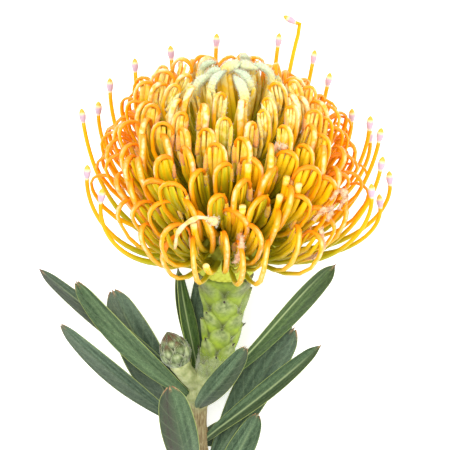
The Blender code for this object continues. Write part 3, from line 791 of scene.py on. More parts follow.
def add_perianths(tints, flowers, straps, grown, rim):
    """The straps: a broad one behind each loop, and three narrow ones inside the loops that can
    be seen into. The young ones are cream at the top."""
    everyone = np.arange(len(grown))
    edge = -0.4 * flowers.past(50, 80) - 0.3
    seen = everyone[((flowers.polar < radians(48)) | (-flowers.upper < edge))[:, 0]]
    groups = (everyone, seen, seen, seen)
    lines, broad = (np.concatenate([some[k][who] for some, who in zip(straps, groups)]) for k in (0, 1))
    who = np.concatenate(groups)
    behind = (np.arange(len(who)) < len(everyone))[:, None]
    along = steps(STRAP_ROWS)
    low = flowers.past(70, 92)
    filling = 0.165 * between(*LOOP_WIDTH, grown) * (1 - 0.4 * low)
    width = np.where(behind, between(1.5, 0.95, low)[who], filling[who]) * MM
    width = width * np.array(STRAP_SWELL)
    warmth = 0.18 + between(0.46, 0.42, grown) * ease(0.2, 0.9, along) * (1 - 0.2 * low)
    warmth = (warmth + 0.08 * flowers.tone + 0.15 * rim)[who]
    pale = (0.95 * (1 - flowers.past(30, 56)) * ease(0.4, 0.85, along))[who]
    # Painted shade: on the inner face of each groove the warmth drops by 0.38, towards olive, and the cream
    # falls off.
    add_tubes(
        "perianths", style_finish("perianth_skin", tints, strap=True), pressed(lines, 1.5 * MM),
        width, 0.4 * width, broad @ HEAD_AXES, STRAP_SIDES, curl=0.2,
        warmth=(warmth, -0.38), shine=(pale, -0.6 * pale),
    )  # fmt: skip


def free_lines(flowers, rise, sizes):
    """Freed styles, which leave the foot of the head flat and curve up, and the way that their
    presenters lean: in on the low ones and out on the high ones. The hooked style is bent over
    to the left at its tip."""
    tip = (sizes.free_reach + 2.5 * MM * jitter(flowers.index, 1)) * flowers.outward + rise * UP
    start = unit(flowers.outward - 0.15 * UP)
    lean = unit(UP + between(-0.14, 0.14, ease(4 * MM, 18 * MM, rise)) * flowers.outward)
    lean = lean + 0.08 * jitter(flowers.index, 2) * flowers.around
    arrive = (12 * MM + 0.27 * rise) * lean
    tip[HOOKED] += (UP - 0.3 * RIGHT) * MM
    arrive[HOOKED] = 11 * MM * unit(UP + 0.45 * RIGHT)
    style = arc(flowers.root, 27 * MM * start, arrive, tip, FREE_ROWS)
    lean[HOOKED] = unit(0.55 * UP - RIGHT)
    style[HOOKED, -2:] = tip[HOOKED] + mm([0.9, 2.6]) * unit(0.2 * UP - RIGHT)
    return style, lean


def add_free_flowers(sizes, tints):
    """The freed styles and the pollen presenters at their tips."""
    azimuth, rise = np.array(FREE_FLOWERS, float).T[:, :, None]
    index = FIRST_FREE + np.arange(len(rise))[:, None]
    flowers = Flowers(index, np.radians(azimuth), np.full_like(rise, FREE_POLAR))
    style, lean = free_lines(flowers, rise * MM, sizes)
    side = flowers.around @ HEAD_AXES
    along = steps(FREE_ROWS)
    radius = sizes.style_radius * between(1.35, 0.70, ease(0, 0.65, along))
    warmth = 0.12 + 0.5 * ease(0.25, 0.9, along) + 0.08 * flowers.tone + 0.10 * ease(0.85, 1, along)
    finish = style_finish("free_style_wax", tints)
    line = pressed(style, sizes.style_radius)
    add_tubes("free_styles", finish, line, radius, radius, side, FREE_SIDES, warmth=warmth)

    along = steps(PRESENTER_ROWS)
    line = style[:, -1:] + mm(between(-1.1, 4.5, along)) * lean[:, None]
    swell = np.array(PRESENTER_SWELL) * MM * (1 + 0.05 * flowers.tone)
    finish = Finish("presenter_skin", 0.4, subsurface=0.2)
    stops = ((0.0, tints.orange), (0.14, tints.peach), (0.28, tints.lilac), (0.62, tints.lilac))
    stops += ((0.74, (0.84, 0.72, 0.42)), (0.84, tints.pollen))
    finish.paint(finish.ramp(finish.value("along"), *stops)).bump(finish.noise(3000.0), 0.0001)
    line = pressed(line, 1.2 * MM)
    add_tubes("presenters", finish.material, line, swell, swell, side, PRESENTER_SIDES, along=along)


def closed_lines(flowers, sizes):
    """A young flower's middle line, and its woolly limb, which is bent over towards the top. The
    first limb lies right across the others."""
    i, ray = flowers.index, flowers.ray
    reach = sizes.top_reach + 1.5 * MM * jitter(i, 1) - 0.5 * MM
    bend = np.maximum(flowers.polar, radians(9)) + radians(3)
    far = np.maximum(bend - (7.0 + 1.5 * jitter(i, 3)) * MM / reach, radians(2.5))
    astray = 1.6 * MM * jitter(i, 4) * flowers.around
    tip = (reach + MM * (0.8 + 1.2 * jitter(i, 5))) * flowers.towards(far) + astray
    tip[0] = (sizes.top_reach + 0.6 * MM) * UP + 7.5 * MM * RIGHT
    shoulder = (reach - 1.5 * MM) * flowers.towards(bend)
    shoulder[0] = (sizes.top_reach + 0.5 * MM) * UP - 3.0 * MM * RIGHT
    middle = arc(flowers.root, 12 * MM * ray, 9 * MM * ray, shoulder, CLOSED_ROWS)
    arrive = 0.45 * (tip - shoulder) - 2 * MM * ray
    return middle, arc(shoulder - 2 * MM * ray, 4.2 * MM * ray, arrive, tip, CLOSED_LIMB_ROWS)


def add_closed_flowers(sizes, tints):
    """The youngest flowers, with three straps each that stand up, the middle one in front, and
    woolly limbs that lie over the top."""
    flowers = spiral(0, sizes.closed_flowers, sizes.flowers)
    middle, limb = closed_lines(flowers, sizes)
    side = -flowers.around @ HEAD_AXES
    number = len(flowers.index)
    who = np.tile(np.arange(number), 3)
    beside, ahead = np.repeat([(-1.7, 0.0), (0.0, 1.2), (1.7, 0.0)], number, axis=0).T[:, :, None]
    along = steps(CLOSED_ROWS)
    line = middle[who] + mm(beside * (1 - 0.6 * along**4)) * flowers.around[who][:, None]
    line = line + mm(ahead) * flowers.slope[who][:, None]
    width = between(1.1, 1.3, along) * (1 - 0.5 * ease(0.85, 1.0, along)) * MM
    warmth = 0.34 + 0.28 * ease(0.2, 0.85, along) + 0.06 * flowers.tone[who]
    # Painted shade: on the inner face of each groove the warmth drops by 0.1.
    add_tubes(
        "closed_tubes", style_finish("tube_skin", tints, strap=True), to_world(line), width, 0.5 * width,
        side[who], CLOSED_SIDES, curl=0.3, warmth=(warmth, -0.1), shine=0.8 * ease(0.5, 0.95, along),
    )  # fmt: skip

    along = steps(CLOSED_LIMB_ROWS)
    swell = MM * np.array(CLOSED_LIMB_SWELL) * (1 + 0.15 * flowers.tone)
    swell = swell * (1 + 0.04 * np.sin(17 * along + 9 * flowers.tone))
    warmth = 0.30 * (1 - ease(0.1, 0.6, along)) + 0.08 * flowers.tone + 0.10
    limb = to_world(limb)
    piece = add_tubes(
        "closed_limbs", wool_finish("closed_limb_down", tints), limb, swell, 0.8 * swell, side,
        CLOSED_LIMB_SIDES, curl=0.25, warmth=warmth,
    )  # fmt: skip
    weights = ring_values(limb.shape[:2], CLOSED_LIMB_SIDES, 1.0)
    add_wool("closed_limb", piece, weights, CLOSED_HAIRS, 0.8 * MM, 0.9 * HEAD_AXES[2], tints.down)


def add_cut_styles(sizes, tints):
    """Styles that have lost their loops and end in a flat pale cut."""
    azimuth, polar, reach = np.array(CUT_STYLES, float).T[:, :, None]
    flowers = Flowers(FIRST_CUT + np.arange(len(reach))[:, None], np.radians(azimuth), np.radians(polar))
    end = reach * MM * flowers.ray
    stand = cos(CUT_LEAN) * flowers.ray - sin(CUT_LEAN) * flowers.slope
    start = flowers.towards(np.minimum(flowers.polar + radians(18), radians(92)))
    line = arc(flowers.root, 14 * MM * start, 10 * MM * stand, end, CUT_ROWS)
    along = steps(CUT_ROWS)
    radius = sizes.style_radius * between(1.2, 1.15, along)
    add_tubes(
        "cut_styles", style_finish("cut_style_wax", tints, strap=True), pressed(line, sizes.style_radius),
        radius, 0.85 * radius, flowers.around @ HEAD_AXES, CUT_SIDES,
        warmth=0.14 + 0.52 * ease(0.1, 0.9, along), shine=along == 1.0,
    )  # fmt: skip


def add_withered(sizes, tints):
    """Withered perianths: crumpled, hairy ribbons, some hanging and some curled up. The first
    one is a broken cream style with its woolly limb."""
    along = steps(WITHERED_ROWS)
    lines = np.array([spline(head_points(rows), along[0]) for rows in WITHERED])
    k = np.arange(len(lines))[:, None]
    broken = k == 0
    crumple = 1 + 0.25 * np.sin(23 * along + 2.3 * k)
    swell = 0.55 + 0.6 * np.sin(pi * np.clip(along, 0.06, 0.94))
    width = np.where(broken, 0.7, 1.0) * crumple * swell * MM
    width = np.where(broken & (along > 0.86), 1.5 * MM, width)
    swing = unit(np.gradient(lines, axis=1)[:, 0])
    side = unit(unit(np.cross(swing, unit(lines[:, 0]))) + 0.6 * UP)
    finish = Finish("withered_skin", 0.7, specular=0.25, subsurface=0.15, sheen=0.3)
    dry = ((0.3, (0.42, 0.17, 0.07)), (0.5, (0.72, 0.42, 0.22)), (0.7, (0.78, 0.58, 0.36)))
    cream = finish.mottle(500.0, 2.0, (0.35, (0.92, 0.50, 0.12)), (0.65, (0.94, 0.76, 0.42)))
    finish.paint(finish.layers(finish.mottle(700.0, 3.0, *dry), pale=cream))
    finish.bump(finish.noise(1500.0, 3.0), 0.0003)
    piece = add_tubes(
        "withered_perianths", finish.material, pressed(lines, 1.2 * MM), width,
        width * np.where(broken, 0.9, 0.35), side @ HEAD_AXES, WITHERED_SIDES, curl=0.45, pale=broken,
    )  # fmt: skip
    weights = np.where(broken, 6.0 * (along > 0.84), 0.4 + along) + 1e-4
    weights = ring_values(weights.shape, WITHERED_SIDES, weights)
    add_wool("withered", piece, weights, WITHERED_HAIRS, 0.9 * MM, 0.5 * HEAD_AXES[2], tints.down)


def add_core(sizes, tints):
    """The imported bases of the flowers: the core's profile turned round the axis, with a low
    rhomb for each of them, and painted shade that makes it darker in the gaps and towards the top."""
    shares = np.linspace(1, 0, CORE_RINGS)[:, None]
    turns = angles(CORE_POINTS)[None]
    radii, heights = spline(np.array(CORE_PROFILE, float), shares[:, 0]).T[:, :, None] * MM
    pattern = scale_pattern(BASE_ROWS * (1 - shares), turns, BASES_ROUND)[0]
    radii = np.maximum(radii, 0.05 * MM) + BASE_RISE * pattern
    rings = [radii * np.cos(turns), radii * np.sin(turns), np.broadcast_to(heights, radii.shape)]
    finish = Finish("core_skin", 0.8, specular=0.15)
    shade = finish.math("MULTIPLY", finish.value("warmth"), finish.math("ADD", finish.noise(500.0), 0.3))
    finish.paint(finish.ramp(shade, (0.1, tints.olive), (0.7, (0.60, 0.64, 0.08))))
    finish.bump(finish.noise(1500.0), 0.0002)
    # Painted shade: this value is lower in the gaps between the rhombs and towards the top, which the ramp
    # makes darker olive.
    warmth = ease(0.1, 0.8, shares) * (0.55 + 0.45 * ease(0.1, 0.7, pattern))
    mesh = lathe(to_world(np.stack(rings, -1)))
    add_piece("flower_bases", mesh, finish.material, "style", warmth=lathe_values(warmth))


# ---------------------------------------------------------------- the stem and the bud


def frames(path):
    """Directions across a path, level, and square to both, upwards."""
    tangents = unit(np.gradient(path, axis=0))
    across = unit(np.cross(tangents, UP))
    return across, np.cross(across, tangents)


def stem_line(shares):
    """Centres of the stem at shares of its length, on a smooth curve through its places and along
    the head's axis to just short of the head, and its radii there."""
    neck = [HEAD_CENTRE + HEAD_AXES[2] * place for place in (STEM_END - NECK_LENGTH, STEM_END)]
    path = spline(np.vstack([np.array(STEM_PLACES) * MM, neck]), shares)
    return path, np.interp(shares, np.linspace(0, 1, len(STEM_RADII)), STEM_RADII) * MM


def scale_pattern(rows, turns, columns):
    """Scales in rows, each a rhomb that rises to its tip over the next ones. rows (P, 1) counts
    from the lowest one and turns (1, S) go round. Returns height, and place from foot to tip and
    from middle to edge on the scale that lies uppermost, each (P, S)."""
    height, along, aside = np.zeros((3, rows.shape[0], turns.shape[1]))
    for below in (0, 1):
        k = np.floor(rows) - below
        share = (rows - k) / 2
        column = turns / (2 * pi) * columns + 0.5 * (k % 2)
        width = np.sin(pi * np.clip(share, 0.03, 0.97)) ** 0.6
        beside = 2 * np.abs(column - np.round(column)) / width
        rise = share**0.8 * np.sqrt(1 - np.minimum(beside, 1.0) ** 2)
        better = (rows > 0) & (beside < 1) & (rise > height)
        height = np.where(better, rise, height)
        along = np.where(better, share, along)
        aside = np.where(better, beside, aside)
    return height, along, aside


def turned_rings(path, radii, turns, last_axes=None):
    """Rings of points round a path (P, 3), square to it, from radii (P, S) at turns (1, S). Turn 0
    is on the upper side."""
    side, top = frames(path)
    if last_axes is not None:
        side[-1], top[-1] = last_axes
    spokes = np.sin(turns)[..., None] * side[:, None] + np.cos(turns)[..., None] * top[:, None]
    return path[:, None] + radii[..., None] * spokes


def add_stem(sizes, tints):
    """The woody stem with its cut end and the scaly neck. The radius is the stem's own, with fine
    lengthwise lines, a knot at each leaf, lumps at the foot of the neck, the scales, and a flare
    under the head."""
    wood = np.linspace(0, NECK_START, WOOD_RINGS)[:-1]
    shares = np.concatenate([wood, np.linspace(NECK_START, 1, NECK_RINGS)])
    turns = angles(STEM_POINTS)[None]
    path, radii = stem_line(shares)
    shares = shares[:, None]
    height, along, aside = scale_pattern((shares - NECK_START) / (SCALE_LENGTH / 2), turns, SCALES_ROUND)
    lines = 0.10 * MM * np.sin(17 * turns + 3 * np.sin(2 * turns)) * (1 - ease(0.5, 0.6, shares))
    leaves = np.array([leaf.share for leaf in LEAVES if leaf.share < NECK_START])
    knots = 0.35 * MM * np.exp(-(((shares - leaves) / 0.012) ** 2)).sum(1, keepdims=True)
    flare = 1.3 * MM * ease(0.93, 1.0, shares) * (0.35 + 0.65 * height)
    lumps = 0.35 * MM * np.sin(7 * turns + 31 * shares) * ease(0.58, 0.64, shares)
    radii = radii[:, None] + sizes.scale_rise * height + lines + knots + flare + lumps
    rings = turned_rings(path, radii, turns, (HEAD_AXES[0], -HEAD_AXES[1]))
    face = path[0] + (rings[0] - path[0]) * np.array(CUT_FACE)[:, None, None]

    right = np.sin(turns - 0.4) > 0
    wave = 0.5 + 0.5 * np.sin(3 * turns + 1.3) * np.sin(5 * turns + 60 * shares)
    woolly = (0.2 + 0.75 * wave * right) * ease(NECK_START - 0.04, NECK_START, shares)
    fields = {
        "fork": ease(0.36, 0.46, shares),
        "neck": ease(NECK_START - 0.03, NECK_START + 0.02, shares),
        "hump": ease(0.40, 0.75, along) * (1 - 0.7 * ease(0.3, 0.9, aside)) * (height > 0),
        # Painted shade: dark green in the grooves between the neck scales, where each is low.
        "groove": (1 - ease(0.15, 0.55, height)) * ease(NECK_START, NECK_START + 0.05, shares),
        "edge": (0.25 + 0.5 * right) * ease(0.80, 1.0, aside) * ease(0.35, 0.6, along) * (height > 0),
        # Painted shade under the head: dark brown on the sides of the neck's top.
        "rust": 0.9 * ease(0.92, 0.99, shares) * np.abs(np.sin(turns)) ** 3,
        "woolly": woolly * (1 - ease(NECK_START + 0.04, NECK_START + 0.13, shares)),
        "cut": np.zeros_like(shares),
    }
    for key, some in fields.items():
        at_cut = np.full((len(face), STEM_POINTS), key == "cut", float)
        fields[key] = lathe_values(np.concatenate([at_cut, np.broadcast_to(some, height.shape)]))

    finish = Finish("stem_skin", 0.55, specular=0.35, subsurface=0.08)
    grain = finish.noise(700.0, 4.0, (2.4, 0.22, 2.4))
    bark = finish.ramp(grain, (0.3, (0.16, 0.10, 0.04)), (0.5, tints.bark), (0.72, (0.42, 0.36, 0.19)))
    green = finish.layers(
        finish.mottle(320.0, 4.0, (0.35, (0.19, 0.27, 0.025)), (0.62, tints.scale)),
        hump=finish.mottle(600.0, 4.0, (0.35, (0.15, 0.20, 0.055)), (0.68, (0.36, 0.42, 0.16))),
        # painted shade in the grooves between the scales
        groove=(0.085, 0.105, 0.022),
        edge=finish.mottle(1500.0, 4.0, (0.35, (0.30, 0.36, 0.16)), (0.7, (0.62, 0.66, 0.42))),
        # painted shade under the head
        rust=(0.10, 0.045, 0.02),
    )
    grey = finish.mottle(1800.0, 3.0, (0.3, (0.30, 0.30, 0.22)), (0.7, (0.66, 0.66, 0.58)))
    fresh = finish.mottle(420.0, 4.0, *FRESH_BARK)
    finish.paint(finish.layers(bark, fork=fresh, neck=green, woolly=grey, cut=(0.62, 0.55, 0.28)))
    finish.bump(finish.math("ADD", grain, finish.math("MULTIPLY", finish.noise(2200.0, 3.0), 0.5)), 0.0002)
    mesh = lathe(np.concatenate([face, rings]))
    piece = add_piece("stem_skin", mesh, finish.material, "stem", ("stem",), **fields)
    weights = 0.25 * fields["edge"] + 1.2 * fields["woolly"] + 1e-4
    down, lean = (0.66, 0.68, 0.54), 0.9 * HEAD_AXES[2]
    add_wool("stem", piece, weights, STEM_HAIRS, 1.1 * MM, lean, down, "stem", roughness=0.8, specular=0.2)


def add_scale_points(sizes, tints):
    """The small dark point at each neck scale's tip: a short straight spike that leans out from
    the neck and ahead along it."""
    grids = np.meshgrid(np.arange(float(SCALE_ROWS)), np.arange(SCALES_ROUND), indexing="ij")
    row, column = (grid.reshape(-1) for grid in grids)
    turns = (2 * pi * (column - 0.5 * (row % 2)) / SCALES_ROUND)[:, None]
    path, radii = stem_line(np.linspace(0, 1, STEM_STEPS + 1))
    side, top = frames(path)
    shares = NECK_START + (row + 1.9) * SCALE_LENGTH / 2
    at = np.clip((shares * STEM_STEPS).astype(int), 0, STEM_STEPS - 1)
    spoke = np.sin(turns) * side[at] + np.cos(turns) * top[at]
    ahead = unit(path[at + 1] - path[at])
    foot = path[at] + (radii[at] + 0.75 * sizes.scale_rise)[:, None] * spoke
    line = foot[:, None] + mm([-0.45, 0.525, 1.125, 1.5]) * unit(0.8 * spoke + ahead)[:, None]
    radius = np.array([0.5, 0.4, 0.24, 0.07]) * MM
    finish = Finish("scale_points", 0.5).paint((0.035, 0.02, 0.012)).material
    across = np.cross(spoke, ahead)
    add_tubes("scale_points", finish, line, radius, 0.6 * radius, across, SCALE_POINT_SIDES, slot="stem")


def add_shoot(sizes, tints):
    """The side shoot, with a collar under the bud and the pinkish scar of a leaf on it."""
    start = stem_line(np.array([SHOOT_START]))[0][0]
    leave = SHOOT_LEAD * unit(SHOOT_TIP - start)
    sunk = 0.8 * MM * BUD_AXIS
    line = arc(start, leave, SHOOT_LEAD * BUD_AXIS + sunk, SHOOT_TIP + sunk, SHOOT_RINGS)
    turns = angles(SHOOT_POINTS)[None]
    share = steps(SHOOT_RINGS).T
    radii = SHOOT_RADIUS + 0.5 * ease(0.75, 0.95, share) - 0.5 * ease(0.96, 1.0, share)
    rings = turned_rings(line, MM * (radii + 0.07 * np.sin(11 * turns)), turns)
    finish = Finish("shoot_skin", 0.55, specular=0.35, subsurface=0.1)
    scar = finish.mottle(900.0, 3.0, (0.35, (0.45, 0.20, 0.12)), (0.65, (0.60, 0.34, 0.26)))
    finish.paint(finish.layers(finish.mottle(420.0, 4.0, *FRESH_BARK), scar=scar))
    finish.bump(finish.noise(1500.0), 0.0002)
    away = np.linalg.norm(rings - start - SCAR_PLACE, axis=-1)
    scar = lathe_values(1 - ease(1.8 * MM, 3.4 * MM, away))
    add_piece("shoot_skin", lathe(rings), finish.material, "stem", scar=scar)


def add_bud(sizes, tints):
    """The bud: an egg whose radius is a power of a sine, with overlapping brown-tipped bracts."""
    share = steps(BUD_RINGS).T
    turns = angles(BUD_POINTS)[None]
    swell = np.sin(pi * np.minimum(0.78 * share**0.95 + 0.22, 1.0)) ** 0.85
    height, along, aside = scale_pattern(BUD_SCALE_ROWS * share, turns, BUD_SCALES_ROUND)
    rise = BUD_SCALE_RISE * np.minimum(1.0, 4 * np.minimum(share, 1.05 - share)) * height
    radius = BUD_RADIUS * np.maximum(0.04, swell) + rise
    side = unit(np.cross(BUD_AXIS, UP))
    path = SHOOT_TIP + BUD_AXIS * (0.3 * MM + BUD_LENGTH * share)
    spokes = np.sin(turns)[..., None] * side + np.cos(turns)[..., None] * np.cross(side, BUD_AXIS)
    mesh = lathe(path[:, None] + radius[..., None] * spokes)
    edge = lathe_values(ease(0.70, 0.95, aside) * ease(0.3, 0.6, along) * 0.8)
    tip = lathe_values(ease(0.45, 0.8, along) * ease(0.52, 0.80, share))
    # Painted shade in the grooves between the bracts.
    groove = lathe_values(1 - ease(0.2, 0.6, height))
    turn = lathe_values(np.broadcast_to(np.abs(turns - pi), aside.shape))

    finish = Finish("bud_skin", 0.65, specular=0.3, subsurface=0.08, sheen=0.3)
    streak = finish.math("SINE", finish.math("MULTIPLY", finish.value("turn"), 17.0))
    streak = finish.math("ADD", finish.math("MULTIPLY", streak, 0.07), finish.noise(420.0, 3.0))
    greens = ((0.34, (0.07, 0.10, 0.03)), (0.5, (0.17, 0.22, 0.085)), (0.70, (0.38, 0.43, 0.23)))
    # dark is the painted shade between the bracts; pale and brown are the bracts' own edges and tips.
    dark, pale, brown = (0.035, 0.040, 0.015), (0.42, 0.46, 0.28), (0.10, 0.045, 0.022)
    finish.paint(finish.layers(finish.ramp(streak, *greens), groove=dark, edge=pale, tip=brown))
    finish.bump(finish.noise(2400.0), 0.0002)
    fields = {"tip": tip, "edge": edge, "turn": turn, "groove": groove}
    piece = add_piece("bud_skin", mesh, finish.material, "bud", ("side_bud",), **fields)
    down, lean = (0.68, 0.70, 0.56), 0.8 * BUD_AXIS
    add_wool("bud", piece, 0.05 + edge, BUD_HAIRS, 0.6 * MM, lean, down, "bud", roughness=0.8, specular=0.2)


# ---------------------------------------------------------------- the leaves


def leaf_half_width(leaf, t):
    """A narrow foot that a power of a sine widens, widest where the power late says, and a blunt,
    rounded tip. Leaves that are widest far out have straighter sides."""
    swell = np.sin(pi * np.minimum(1.0, t**leaf.late)) ** (0.7 if leaf.late < 1.75 else 0.56)
    half = LEAF_FOOT * (1 - t) + leaf.half * MM * (0.96 * swell + 0.34 * t**5)
    return half * np.sqrt(1 - (1 - TIP_SHARE[leaf.teeth] ** 2) * np.clip((t - 0.93) / 0.07, 0, 1) ** 2)


def leaf_path(leaf):
    """The midrib's line, from inside the stem's skin to the tip."""
    near, radii = stem_line(leaf.share + np.array([-0.01, 0.0, 0.01]))
    along = unit(near[2] - near[0])
    side = unit(np.cross(along, UP))
    out = sin(radians(leaf.turn)) * side + cos(radians(leaf.turn)) * np.cross(side, along)
    foot = near[1] + (radii[1] - 0.3 * MM) * out
    tip = np.array(leaf.tip) * MM
    arrive = 0.45 * (tip - foot) - np.array(leaf.bow) * MM
    return arc(foot, leaf.lead * MM * unit(out + 0.9 * along), arrive, tip, LEAF_ROWS)


def add_leaf(sizes, finish, k, leaf):
    """A folded blade: t runs from foot to tip and u from -1 to 1 across. It is lifted with
    |u| ** 1.5 by the fold, waved along its edges and toothed at the tip, with a raised midrib
    below and thinner edges."""
    t, u = steps(LEAF_ROWS).T, np.linspace(-1, 1, LEAF_COLUMNS)[None]
    path = leaf_path(leaf)
    side, up = frames(path)
    free = np.minimum(1.0, 5 * t)
    roll = radians(leaf.roll) * free
    side, up = np.cos(roll) * side + np.sin(roll) * up, np.cos(roll) * up - np.sin(roll) * side
    half = leaf_half_width(leaf, t)
    lift = leaf.fold * half * np.abs(u) ** 1.5 * free
    wave = 0.25 * MM * np.sin(9 * t + 2 * k) * np.sign(u) * np.abs(u) ** 2 * free
    tooth = np.cos(pi * u) ** 4 if leaf.teeth == 3 else (1 - np.abs(u)) ** 2
    beyond = LEAF_TOOTH * (1.3 * tooth - 0.3 - 0.5 * np.abs(u)) * ease(0.94, 1.0, t)
    thick = 0.5 * sizes.blade * (1 - 0.65 * np.abs(u) ** 4) * (1 - 0.5 * ease(0.9, 1.0, t))
    aside = half * (u - leaf.rib_place)
    rib = 0.28 * MM * np.exp(-((aside / (0.45 * MM)) ** 2)) * (1 - ease(0.8, 1.0, t))

    def face(height):
        points = path[:, None] + (half * u)[..., None] * side[:, None] + height[..., None] * up[:, None]
        return points + beyond[..., None] * unit(path[-1] - path[-2])

    mesh = shell(face(lift + wave + thick - 0.4 * rib), face(lift + wave - thick - rib))
    darker = -np.sign(leaf.dark) * (u - leaf.rib_place)
    values = {
        "across": u,
        "along": t,
        "gland": ease(0.962, 1.0, t) * ease(0.3, 0.8, tooth),
        "ribbed": leaf.rib * (1 - ease(0.75, 1.0, t)) * np.exp(-((aside / (0.24 * MM)) ** 2)),
        "dark": abs(leaf.dark) * ease(-0.25, 0.45, darker),
        "tone": leaf.tone,
    }
    for key, some in values.items():
        values[key] = np.tile(np.broadcast_to(some, aside.shape).reshape(-1), 2)
    values["under"] = np.repeat([0.0, 1.0], aside.size)
    replaces = (leaf.name,) if k < CAD_LEAVES else ()
    add_piece(f"{leaf.name}_blade", mesh, finish, "leaf", replaces, **values)


def leaf_finish(tints):
    """Streaked, speckled and veined, with a pale midrib, a thin margin and reddish glands. The
    attribute tone runs from fresh green through bluish to purplish grey, and each leaf has
    streaks of its own."""
    finish = Finish("leaf_skin", 0.45, specular=0.35, subsurface=0.04)
    tone = finish.value("tone")
    place = finish.node("ShaderNodeCombineXYZ", X=finish.value("across"), Y=finish.value("along"), Z=tone)
    streaks = finish.noise(3.0, 5.0, (1.2, 0.55, 9.0), place.outputs["Vector"])
    streaks = finish.math("MULTIPLY", streaks, 0.75)
    streaks = finish.math("ADD", streaks, finish.math("MULTIPLY", finish.noise(900.0, 3.0), 0.25))
    fresh = finish.ramp(streaks, (0.36, (0.022, 0.056, 0.008)), (0.64, (0.090, 0.160, 0.030)))
    bluish = finish.ramp(streaks, (0.36, (0.024, 0.052, 0.026)), (0.64, (0.125, 0.195, 0.118)))
    greyish = finish.ramp(streaks, (0.36, (0.030, 0.042, 0.026)), (0.64, (0.098, 0.125, 0.082)))
    base = finish.mix(finish.math("MULTIPLY", tone, 2.0, clamp=True), fresh, bluish)
    base = finish.mix(finish.math("MULTIPLY_ADD", tone, 2.0, -1.0, clamp=True), base, greyish)
    base = finish.mix(1.0, base, finish.mottle(3200.0, 2.0, (0.40, 0.75), (0.60, 1.1)), "MULTIPLY")
    shade = finish.math("MULTIPLY", finish.value("dark"), finish.ramp(streaks, (0.40, 0.35), (0.60, 1.0)))
    base = finish.mix(shade, base, (0.042, 0.038, 0.026))
    across = finish.math("ABSOLUTE", finish.value("across"))
    veins = finish.math("MULTIPLY", finish.value("along"), 60.0)
    veins = finish.math("SUBTRACT", veins, finish.math("MULTIPLY", across, 11.0))
    veins = finish.ramp(finish.math("SINE", veins), (0.86, 0.0), (1.0, 0.12))
    base = finish.mix(veins, base, (0.26, 0.33, 0.18))
    base = finish.mix(finish.math("MULTIPLY", finish.value("under"), 0.6), base, (0.24, 0.30, 0.18))
    base = finish.layers(base, ribbed=(0.48, 0.58, 0.27))
    base = finish.mix(finish.ramp(across, (0.95, 0.0), (0.99, 0.75)), base, tints.margin)
    gland = finish.mottle(1600.0, 3.0, (0.4, (0.16, 0.055, 0.03)), (0.6, (0.52, 0.30, 0.14)))
    finish.paint(finish.layers(base, gland=gland))
    return finish.bump(finish.math("ADD", veins, finish.noise(2600.0, 3.0)), 0.00012).material


def add_leaves(sizes, tints):
    """All the leaves, in one finish."""
    finish = leaf_finish(tints)
    for k, leaf in enumerate(LEAVES):
        add_leaf(sizes, finish, k, leaf)


# ---------------------------------------------------------------- stage


def put(name, data, place, axes):
    """An object of lamp or camera data at a place, turned to axes across, upwards and away."""
    thing = bpy.data.objects.new(name, data)
    thing.matrix_world = Matrix.Translation(place) @ Matrix(axes).transposed().to_4x4()
    bpy.context.scene.collection.objects.link(thing)
    return thing


def add_floor():
    """A pale floor that glows a little, and a white room."""
    data = bpy.data.meshes.new("floor")
    far = FLOOR_REACH
    data.from_pydata([(-far, -far, 0), (far, -far, 0), (far, far, 0), (-far, far, 0)], [], [(0, 1, 2, 3)])
    floor = bpy.data.objects.new("floor", data)
    bpy.context.scene.collection.objects.link(floor)
    finish = Finish("floor_paint", 0.9, specular=0.1).paint((0.96, 0.96, 0.96))
    finish.shader.inputs["Emission Color"].default_value = WHITE
    finish.shader.inputs["Emission Strength"].default_value = FLOOR_GLOW
    data.materials.append(finish.material)
    world = bpy.data.worlds.new("room")
    world.use_nodes = True
    background = world.node_tree.nodes["Background"]
    background.inputs["Color"].default_value = WHITE
    background.inputs["Strength"].default_value = ROOM_LIGHT
    bpy.context.scene.world = world


def add_lamps():
    """Soft square lamps that face the head."""
    for name, (place, size, power) in LAMPS.items():
        lamp = bpy.data.lights.new(name, "AREA")
        lamp.size = size
        lamp.energy = power
        away = unit(place - HEAD_MIDDLE)
        across = unit(np.cross(UP, away))
        put(name, lamp, place, (across, np.cross(away, across), away))


def add_camera():
    """Looks down at the flower, a little from straight down, with its stem towards the foot."""
    away = np.array([0.0, sin(CAMERA_TIP), cos(CAMERA_TIP)])
    upward = np.array([0.0, cos(CAMERA_TIP), -sin(CAMERA_TIP)])
    target = HEAD_CENTRE + VIEW_SHIFT[0] * RIGHT + VIEW_SHIFT[1] * upward
    data = bpy.data.cameras.new("camera")
    data.sensor_width = CAMERA_SENSOR
    data.lens = CAMERA_SENSOR * CAMERA_DISTANCE / VIEW_WIDTH
    bpy.context.scene.camera = put("camera", data, target + CAMERA_DISTANCE * away, (RIGHT, upward, away))
    bpy.context.scene.view_settings.view_transform = "Standard"


# ---------------------------------------------------------------- the add-on


def built(context, *makers):
    """Runs the functions that make pieces, with the sizes and colours of the scene."""
    for make in makers:
        make(context.scene.protea_sizes, context.scene.protea_colours)
    return {"FINISHED"}


class PROTEA_OT_bases(bpy.types.Operator):
    """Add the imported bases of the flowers"""

    bl_idname = "protea.bases"
    bl_label = "Flower Bases"

    def execute(self, context):
        return built(context, add_core)


class PROTEA_OT_looped(bpy.types.Operator):
    """Add the looped styles with their limbs and perianths"""

    bl_idname = "protea.looped"
    bl_label = "Looped Flowers"

    def execute(self, context):
        return built(context, add_looped_flowers)


class PROTEA_OT_closed(bpy.types.Operator):
    """Add the youngest flowers, still closed, with woolly limbs"""

    bl_idname = "protea.closed"
    bl_label = "Closed Flowers"

    def execute(self, context):
        return built(context, add_closed_flowers)


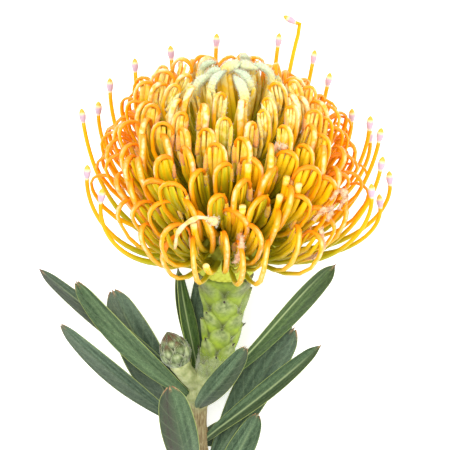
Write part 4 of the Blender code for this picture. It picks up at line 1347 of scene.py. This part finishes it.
class PROTEA_OT_freed(bpy.types.Operator):
    """Add the freed styles with their pollen presenters"""

    bl_idname = "protea.freed"
    bl_label = "Freed Styles"

    def execute(self, context):
        return built(context, add_free_flowers)


class PROTEA_OT_withered(bpy.types.Operator):
    """Add the cut styles and the withered perianths"""

    bl_idname = "protea.withered"
    bl_label = "Cut and Withered Flowers"

    def execute(self, context):
        return built(context, add_cut_styles, add_withered)


class PROTEA_OT_stem(bpy.types.Operator):
    """Add the woody stem and its scaly neck"""

    bl_idname = "protea.stem"
    bl_label = "Stem and Neck"

    def execute(self, context):
        return built(context, add_stem, add_scale_points)


class PROTEA_OT_bud(bpy.types.Operator):
    """Add the side shoot and its bud"""

    bl_idname = "protea.bud"
    bl_label = "Side Shoot and Bud"

    def execute(self, context):
        return built(context, add_shoot, add_bud)


class PROTEA_OT_leaves(bpy.types.Operator):
    """Add the leaves"""

    bl_idname = "protea.leaves"
    bl_label = "Leaves"

    def execute(self, context):
        return built(context, add_leaves)


class PROTEA_OT_stage(bpy.types.Operator):
    """Add the floor, the lamps and the camera"""

    bl_idname = "protea.stage"
    bl_label = "Stage"

    def execute(self, context):
        add_floor()
        add_lamps()
        add_camera()
        return {"FINISHED"}


OPERATORS = (
    PROTEA_OT_bases,
    PROTEA_OT_looped,
    PROTEA_OT_closed,
    PROTEA_OT_freed,
    PROTEA_OT_withered,
    PROTEA_OT_stem,
    PROTEA_OT_bud,
    PROTEA_OT_leaves,
    PROTEA_OT_stage,
)


class PROTEA_PT_pieces(bpy.types.Panel):
    """Lists the pieces of the flower in the sidebar"""

    bl_idname = "PROTEA_PT_pieces"
    bl_label = "Pincushion Protea"
    bl_space_type = "VIEW_3D"
    bl_region_type = "UI"
    bl_category = "Protea"

    def draw(self, context):
        column = self.layout.column()
        for group in (context.scene.protea_sizes, context.scene.protea_colours):
            for name in group.__annotations__:
                column.prop(group, name)
        for operator in OPERATORS:
            column.operator(operator.bl_idname)


CLASSES = (ProteaSizes, ProteaColours, *OPERATORS, PROTEA_PT_pieces)


def register():
    for some in CLASSES:
        bpy.utils.register_class(some)
    bpy.types.Scene.protea_sizes = bpy.props.PointerProperty(type=ProteaSizes)
    bpy.types.Scene.protea_colours = bpy.props.PointerProperty(type=ProteaColours)


def unregister():
    del bpy.types.Scene.protea_colours
    del bpy.types.Scene.protea_sizes
    for some in reversed(CLASSES):
        bpy.utils.unregister_class(some)


def main():
    register()
    bpy.ops.protea.bases()
    bpy.ops.protea.looped()
    bpy.ops.protea.closed()
    bpy.ops.protea.freed()
    bpy.ops.protea.withered()
    bpy.ops.protea.stem()
    bpy.ops.protea.bud()
    bpy.ops.protea.leaves()
    bpy.ops.protea.stage()


if __name__ == "__main__":
    main()
